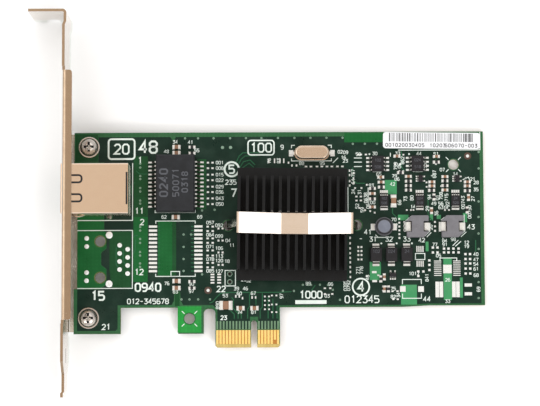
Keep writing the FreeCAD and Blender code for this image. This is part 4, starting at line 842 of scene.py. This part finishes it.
# small running numbers: places of the level ones with two digits
level = [
    (-24.7, 64.7), (-19.9, 64.6), (-27.5, 61.7), (-17.9, 62.0), (-28.2, 41.0), (-17.0, 41.0), (-27.3, 20.1),
    (-24.6, 17.5), (-19.6, 19.9), (-19.6, 17.6), (-8.1, 33.5), (-6.9, 32.0), (-8.4, 27.0), (-3.2, 21.2),
    (-1.7, 20.9), (-5.5, 18.4), (-2.7, 18.4), (-9.0, 16.2), (-4.6, 16.9), (-0.2, 16.9), (-4.4, 11.0),
    (-0.1, 11.0), (15.1, 57.8), (21.6, 57.8), (27.3, 61.4), (29.0, 61.2), (28.3, 59.6), (28.9, 58.5),
    (38.2, 60.8), (45.4, 60.8), (52.1, 60.7), (57.5, 60.6), (33.0, 60.6), (39.4, 54.3), (39.4, 53.2),
    (44.3, 53.65), (45.1, 52.7), (37.0, 50.7), (37.4, 45.3), (59.4, 55.6), (63.5, 54.2), (68.9, 52.6),
    (70.0, 51.5), (69.9, 49.3), (43.7, 51.1), (56.6, 44.9), (58.8, 44.9), (58.8, 43.7), (44.0, 39.9),
    (56.8, 32.0), (59.9, 33.2), (59.9, 32.0), (62.6, 33.6), (57.9, 28.5), (66.7, 32.6), (66.7, 31.4),
    (60.7, 20.9), (60.6, 14.2), (69.6, 28.9), (69.6, 27.2), (69.6, 25.8), (69.6, 24.3), (69.6, 22.3),
    (43.6, 18.2), (43.6, 15.7), (17.0, 19.9), (24.0, 19.7), (22.9, 16.0), (49.3, 22.9), (51.0, 22.9)
]
# upright ones, each with its count of digits
upright = [
    (31.3, 48.8, 2), (33.3, 48.6, 2), (35.2, 46.8, 4), (35.9, 45.0, 4), (32.5, 44.2, 2), (34.1, 43.0, 2),
    (45.8, 45.3, 2), (47.7, 46.4, 2), (49.7, 46.7, 2), (56.9, 54.2, 3), (55.25, 47.0, 2), (57.75, 46.8, 2),
    (58.9, 47.3, 3), (60.6, 46.8, 3), (60.9, 44.7, 2), (54.6, 43.3, 2), (57.4, 41.8, 2), (65.8, 45.2, 5),
    (67.8, 42.2, 5), (31.3, 54.6, 3), (31.3, 52.0, 2), (32.6, 24.0, 3), (33.7, 24.0, 3), (28.6, 19.2, 4),
    (29.6, 19.2, 4), (44.7, 56.8, 3), (45.9, 56.9, 2), (44.6, 37.9, 2), (55.6, 37.4, 2), (68.9, 46.4, 2),
    (45.2, 16.2, 2), (54.2, 21.6, 3), (35.6, 21.7, 2), (53.9, 56.9, 2), (46.9, 58.6, 3), (70.3, 17.9, 2),
    (4.9, 58.6, 2), (7.9, 58.6, 2), (-11.4, 13.2, 3), (8.6, 16.0, 2)
]
# all of them in order as x, y, turn and count of digits
small = [(x, y, 0, 3) for x, y in grid((-10.7,), (58.1, 56.35, 54.3, 52.55, 50.5, 48.8, 46.8, 45.0))
         + grid((-13.7,), (39.15, 35.35, 31.6, 27.65, 24.0))
         + grid((-10.9,), (38.3, 34.9, 31.1, 28.6, 27.2, 23.85))]
small += [(x, y, 0, 2) for x, y in level] + [(x, y, 90, count) for x, y, count in upright]
number = silkLook["firstNumber"]
for x, y, turn, count in small:
    text = str(number % 10 ** count).rjust(count, "0")
    addNumber(shape, text, x, y, silkLook["height"], turn, silkLook["fine"], boardFace, silkLook["high"])
    number += silkLook["numberStep"]
# larger numbers: text, x, y, height and stroke
large = [("1", -35.8, 59.0, 1.7, 0.3), ("11", -36.0, 42.9, 1.7, 0.3), ("2", -35.1, 39.4, 1.7, 0.3),
         ("12", -36.0, 23.7, 1.7, 0.3), ("21", -46.3, 6.55, 1.6, 0.3), ("22", -10.3, 18.3, 1.7, 0.3),
         ("9", 9.0, 62.95, 1.3, 0.22), ("31", 37.4, 33.75, 1.4, 0.24), ("32", 42.4, 33.75, 1.4, 0.24),
         ("33", 48.0, 33.75, 1.4, 0.24), ("41", 35.8, 36.0, 1.4, 0.24), ("42", 52.7, 33.4, 1.2, 0.24),
         ("43", 68.2, 37.5, 1.4, 0.24), ("44", 54.1, 14.9, 1.4, 0.24), ("14", 50.0, 43.9, 0.9, 0.2),
         ("14", 60.4, 43.6, 0.9, 0.2), ("23", -9.5, 9.3, 1.2, 0.25), ("20", -41.6, 62.5, 3.0, 0.5),
         ("48", -33.2, 63.1, 3.6, 0.62), ("100", 2.35, 62.8, 2.7, 0.45), ("5", -6.9, 56.0, 2.5, 0.5),
         ("235", -7.2, 51.9, 1.4, 0.26), ("7", -6.3, 48.5, 2.4, 0.45), ("15", -48.9, 16.3, 2.6, 0.55),
         ("0940", -33.2, 18.9, 2.4, 0.5), ("012-345678", -33.2, 14.5, 1.5, 0.26),
         ("1000", 17.8, 16.4, 2.1, 0.42), ("4", 33.5, 18.8, 2.9, 0.5), ("012345", 33.8, 14.9, 2.1, 0.32)]
for text, x, y, height, width in large:
    addNumber(shape, text, x, y, height, 0, width, boardFace, silkLook["high"])
# rounded frames: x, y, width, height and stroke
frames = [(-41.6, 62.5, 8.2, 6.3, 0.55), (2.35, 62.8, 8.2, 4.6, 0.42)]
for x, y, wide, tall, width in frames:
    corner, outline = silkLook["frameCorner"], []
    for cx, cy, first in ((1, 1, 0), (-1, 1, 90), (-1, -1, 180), (1, -1, 270)):
        for i in range(5):
            offX, offY = turned(corner, 0, first + i * 22.5)
            outline.append((x + cx * (wide / 2 - corner) + offX, y + cy * (tall / 2 - corner) + offY))
    addRibbon(shape, outline, width, boardFace, silkLook["high"], closed=True)
# a plain bar by its corners, circles as x, y, inner and outer radius, and dots
bars = [(12.9, 13.5, 22.7, 14.7)]
circles = [(33.5, 18.8, 2.35, 2.85), (-6.9, 56.0, 1.95, 2.55)]
dots = [(40.0, 32.4), (44.8, 32.4), (49.6, 32.4), (49.0, 60.6), (36.5, 60.6), (66.8, 52.9)]
for outline in [rectangle(*bar) for bar in bars] + [disc(x, y, silkLook["dot"], 12) for x, y in dots]:
    addPad(shape, outline, boardFace, silkLook["high"], silkLook["bevel"])
for x, y, inner, outer in circles:
    addRing(shape, x, y, inner, outer, boardFace, silkLook["high"], 40)
makePiece("silkMarks", shape, "silkInk")

# faint numbers: on the transformer as text, place from its middle, height and stroke; then on upper chips
chipLook = dict(thick=0.01, row=0.22, stroke=0.12, pitch=1.4, transformer=[
    ("0240", -3.6, 0.0, 2.3, 0.5), ("50071", 0.2, 0.0, 1.8, 0.35), ("0318", 3.0, 0.2, 1.7, 0.35)],
    heights={"memory_bodies": 0.8, "switch_bodies": 0.7, "diode_bodies": 0.9})
shape = bmesh.new()
middleX, middleY, topZ = topMiddle("transformer_body")
for text, offX, offY, height, width in chipLook["transformer"]:
    addNumber(shape, text, middleX + offX, middleY + offY, height, 90, width, topZ - chipLook["thick"],
              topZ + chipLook["thick"], chipLook["pitch"])
for bodyNode, height in chipLook["heights"].items():
    for i, body in enumerate(solidBoxes(bodyNode)):
        x, y, deep = (body[0] + body[3]) / 2, (body[1] + body[4]) / 2, body[4] - body[1]
        rows = [(chipLook["row"], "1024"[i:i + 3]), (-chipLook["row"], "5" + str(i) + "8")]
        for row, text in rows[:1] if bodyNode == "diode_bodies" else rows:
            addNumber(shape, text, x, y + row * deep, height, 0, chipLook["stroke"],
                      body[5] - chipLook["thick"], body[5] + chipLook["thick"])
makePiece("chipMarks", shape, "printGrey")

# the label's bars and plain digits, square to the label
labelLook = dict(turn=-0.8, barLow=-0.35, barHigh=2.3, barStart=-13.4, barEnd=13.0, thickBefore=-12.9,
                 thickAfter=10.0, thickBars=[0.34, 0.5, 0.3], thickGaps=[0.16, 0.24, 0.3],
                 bars=[0.11, 0.11, 0.16, 0.3], gaps=[0.22, 0.32, 0.46], sunk=0.01, thick=0.012, bevel=0.004,
                 digitRow=-1.5, digitHeight=1.0, digitStroke=0.2, pitch=1.5,
                 digits={"001020030405": -8.4, "10203": 1.9, "506070-003": 9.3})
labelX, labelY, labelZ = topMiddle("bar_code_label")
inkLow, inkHigh = labelZ - labelLook["sunk"], labelZ + labelLook["thick"]


def onLabel(x, y):
    offX, offY = turned(x, y, labelLook["turn"])
    return labelX + offX, labelY + offY


shape = bmesh.new()
x = labelLook["barStart"]
while x < labelLook["barEnd"]:
    thick = x < labelLook["thickBefore"] or x > labelLook["thickAfter"]
    wide = random.choice(labelLook["thickBars"] if thick else labelLook["bars"])
    bar = rectangle(x, labelLook["barLow"], x + wide, labelLook["barHigh"])
    addPad(shape, [onLabel(*corner) for corner in bar], inkLow, inkHigh, labelLook["bevel"])
    x += wide + random.choice(labelLook["thickGaps"] if thick else labelLook["gaps"])
for text, start in labelLook["digits"].items():
    spotX, spotY = onLabel(start, labelLook["digitRow"])
    addNumber(shape, text, spotX, spotY, labelLook["digitHeight"], labelLook["turn"],
              labelLook["digitStroke"], inkLow, inkHigh, labelLook["pitch"])
makePiece("labelPrint", shape, "printBlack")

# the bare strips between the tab's contacts and below the short one
bedLook = dict(low=1.1, high=5.42, thick=0.03, bevel=0.004, widestGap=1.0, shortAbove=1.6)
shape = bmesh.new()
for nodeName, (low, high) in zip(("edge_contacts_front", "edge_contacts_back"), bothFaces(bedLook["thick"])):
    contacts = sorted(solidBoxes(nodeName))
    for left, right in zip(contacts, contacts[1:]):
        strips = []
        if right[0] - left[3] < bedLook["widestGap"]:
            strips.append((left[3], bedLook["low"], right[0], bedLook["high"]))
        if left[1] > bedLook["shortAbove"]:
            strips.append((left[0], bedLook["low"], left[3], left[1]))
        for strip in strips:
            addPad(shape, rectangle(*strip), low, high, bedLook["bevel"])
makePiece("contactBed", shape, "contactBed")

# the bevel below the contacts, on both faces: its height over the tab's face at each rise, and cut corners
bevelLook = dict(halves=[(-12.05, -0.98), (0.98, 8.05)], top=1.08, bend=0.62, over=0.02, bendOver=-0.17,
                 tipOver=-0.4, cutCorner=0.6, thick=0.05)
shape = bmesh.new()
for face, out in ((boardFace, 1), (boardBack, -1)):
    topZ, bendZ, tipZ = (face + out * bevelLook[key] for key in ("over", "bendOver", "tipOver"))
    for x0, x1 in bevelLook["halves"]:
        tipX0 = x0 + (bevelLook["cutCorner"] if x0 < -2 else 0)
        tipX1 = x1 - (bevelLook["cutCorner"] if x1 > 2 else 0)
        rise = [(x0, bevelLook["top"], topZ), (x1, bevelLook["top"], topZ), (x1, bevelLook["bend"], bendZ),
                (tipX1, 0.0, tipZ), (tipX0, 0.0, tipZ), (x0, bevelLook["bend"], bendZ)]
        upper = [shape.verts.new(v) for v in rise]
        under = [shape.verts.new((x, y, z - out * bevelLook["thick"])) for x, y, z in rise]
        shape.faces.new(upper)
        shape.faces.new(under[::-1])
        addBands(shape, [upper, under])
makePiece("tabBevel", shape, "bareCore")

# painted shadow in the screws' cross recesses and under their domes, with a painted highlight on the cross's
# floor
screwLook = dict(recess=1.28, cross=(0.76, 3.16), shadeHigh=0.35, shadeBevel=0.1, glintLow=0.3,
                 glintHigh=0.42, glintBevel=0.08, glintShare=0.5, glintShift=-0.15, skirt=(2.66, 2.9),
                 skirtLow=0.4, skirtHigh=0.465)
shape, glints = bmesh.new(), bmesh.new()
for x0, y0, z0, x1, y1, z1 in solidBoxes("bracket_screws"):
    x, y = (x0 + x1) / 2, (y0 + y1) / 2
    floorZ = z1 - screwLook["recess"]
    for wide, tall in (screwLook["cross"], screwLook["cross"][::-1]):
        addPad(shape, around(x, y, wide, tall), floorZ, floorZ + screwLook["shadeHigh"],
               screwLook["shadeBevel"])
        share = screwLook["glintShare"]
        addPad(glints, around(x, y + screwLook["glintShift"], wide * share, tall * share),
               floorZ + screwLook["glintLow"], floorZ + screwLook["glintHigh"], screwLook["glintBevel"])
    addRing(shape, x, y, *screwLook["skirt"], screwLook["skirtLow"], screwLook["skirtHigh"], 48)
makePiece("screwShadows", shape, "paintedShade")
makePiece("screwGlints", glints, "glint")

# the shield's punched slots as strips of painted shade: two spring tabs and the rear slot
tabLook = dict(offset=2.95, halfWidth=1.12, root=1.2, tip=6.48, corner=0.9, stroke=0.6, rearIn=0.42,
               rearLong=10.0, rearWide=0.56, deep=0.12, over=0.012, bevel=0.004)
front, rear = (corner.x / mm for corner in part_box("socket_shield"))
middleX, middleY, topZ = topMiddle("socket_shield")
slotLow, slotHigh = topZ - tabLook["deep"], topZ + tabLook["over"]
shape = bmesh.new()
for side in (-1, 1):
    y, tip, corner = middleY + side * tabLook["offset"], front + tabLook["tip"], tabLook["corner"]
    path = [(front + tabLook["root"], y + tabLook["halfWidth"])]
    for i in range(7):
        offX, offY = turned(corner, 0, 90 - i * 15)
        path.append((tip - corner + offX, y + tabLook["halfWidth"] - corner + offY))
    path += [(px, 2 * y - py) for px, py in path[::-1]]
    addRibbon(shape, path, tabLook["stroke"], slotLow, slotHigh)
addPad(shape, around(rear - tabLook["rearIn"], middleY, tabLook["rearWide"], tabLook["rearLong"]),
       slotLow, slotHigh, tabLook["bevel"])
makePiece("shieldSlotShade", shape, "paintedShade")

# the round coil's core face
coilLook = dict(radius=1.95, over=0.02, bevel=0.02)
middleX, middleY, topZ = topMiddle("round_coil")
shape = bmesh.new()
addPad(shape, disc(middleX, middleY, coilLook["radius"], 40), topZ - coilLook["over"],
       topZ + coilLook["over"], coilLook["bevel"])
makePiece("roundCoilFace", shape, "coilFace")
print("marks printed")


# the stage: the camera in mm and degrees, then floor and light

cameraLook = dict(place=(5.999, -9.947, 608.75), aim=(5.114, 45.276, 0.0), roll=-1.1357, lens=129.6,
                  sensor=36.0)
camera = bpy.data.cameras.new("camera")
camera.sensor_width = cameraLook["sensor"]
camera.lens = cameraLook["lens"]
camera.clip_start = 0.01
camera.clip_end = 20
cameraHolder = addObject("camera", camera)
cameraPlace, cameraAim = Vector(cameraLook["place"]) * mm, Vector(cameraLook["aim"]) * mm
cameraTurn = (cameraAim - cameraPlace).to_track_quat("-Z", "Y")
cameraTurn @= Quaternion((0, 0, 1), math.radians(cameraLook["roll"]))
cameraHolder.matrix_world = Matrix.LocRotScale(cameraPlace, cameraTurn, None)
bpy.context.scene.camera = cameraHolder

# the floor tilts so that it meets the bracket's rim and the lowest point on the rest of the card
floorLook = dict(size=3.0, clear=0.02, pastRim=20)
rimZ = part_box("bracket")[0].z
rimX = max(v.co.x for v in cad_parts["bracket"].data.vertices if v.co.z < rimZ + 0.01 * mm)
slope = min((v.co.z - rimZ) / (v.co.x - rimX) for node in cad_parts.values() for v in node.data.vertices
            if v.co.x > rimX + floorLook["pastRim"] * mm)
floorMesh = bpy.data.meshes.new("floor")
floorMesh.from_pydata([(x, y, 0) for x, y in around(0, 0, floorLook["size"], floorLook["size"])], [],
                      [(0, 1, 2, 3)])
floorMesh.materials.append(finishes["floorPaper"])
floor = addObject("floor", floorMesh)
floor.rotation_euler = (0, -math.atan(slope), 0)
floor.location = (rimX, (boardLow.y + boardHigh.y) / 2, rimZ - floorLook["clear"] * mm)
print("floor under the rim at", round(rimX / mm, 2), round(rimZ / mm, 2))

# soft lights: place, size, power and aim, in metres and watts
softLights = {"keyLight": ((0.5, -0.75, 0.8), 0.3, 4.4, (0, 0.04, 0)),
              "fillLight": ((-0.7, 0.15, 0.55), 0.6, 1.6, (-0.03, 0.04, 0))}
for name, (spot, size, power, aim) in softLights.items():
    lamp = bpy.data.lights.new(name, "AREA")
    lamp.size = size
    lamp.energy = power
    holder = addObject(name, lamp)
    holder.location = spot
    holder.rotation_euler = (Vector(aim) - Vector(spot)).to_track_quat("-Z", "Y").to_euler()

# studio light by height: grey below, a bright band near the top and a warm top
skyLook = dict(strength=0.95, stops=[
    (0.0, (0.7, 0.7, 0.7)), (0.45, (0.88, 0.88, 0.88)), (0.8, (0.95, 0.95, 0.95)), (0.86, (1.75, 1.75, 1.75)),
    (0.93, (1.75, 1.75, 1.75)), (0.97, (0.8, 0.68, 0.57)), (1.0, (0.78, 0.66, 0.54))])
sky = bpy.data.worlds.new("studio")
bpy.context.scene.world = sky
sky.use_nodes = True
skyTree = sky.node_tree
heading = place(skyTree, "TexCoord", {})["Generated"]
ramp = place(skyTree, "ValToRGB", {"Fac": heightOf(skyTree, heading)})
stops = ramp["Color"].node.color_ramp.elements
stops.remove(stops[1])
for i, (spot, colour) in enumerate(skyLook["stops"]):
    stop = stops.new(spot) if i else stops[0]
    stop.position = spot
    stop.color = (*colour, 1)
skyTree.links.new(ramp["Color"], skyTree.nodes["Background"].inputs["Color"])
skyTree.nodes["Background"].inputs["Strength"].default_value = skyLook["strength"]
bpy.context.scene.view_settings.view_transform = "Standard"
print("stage set")
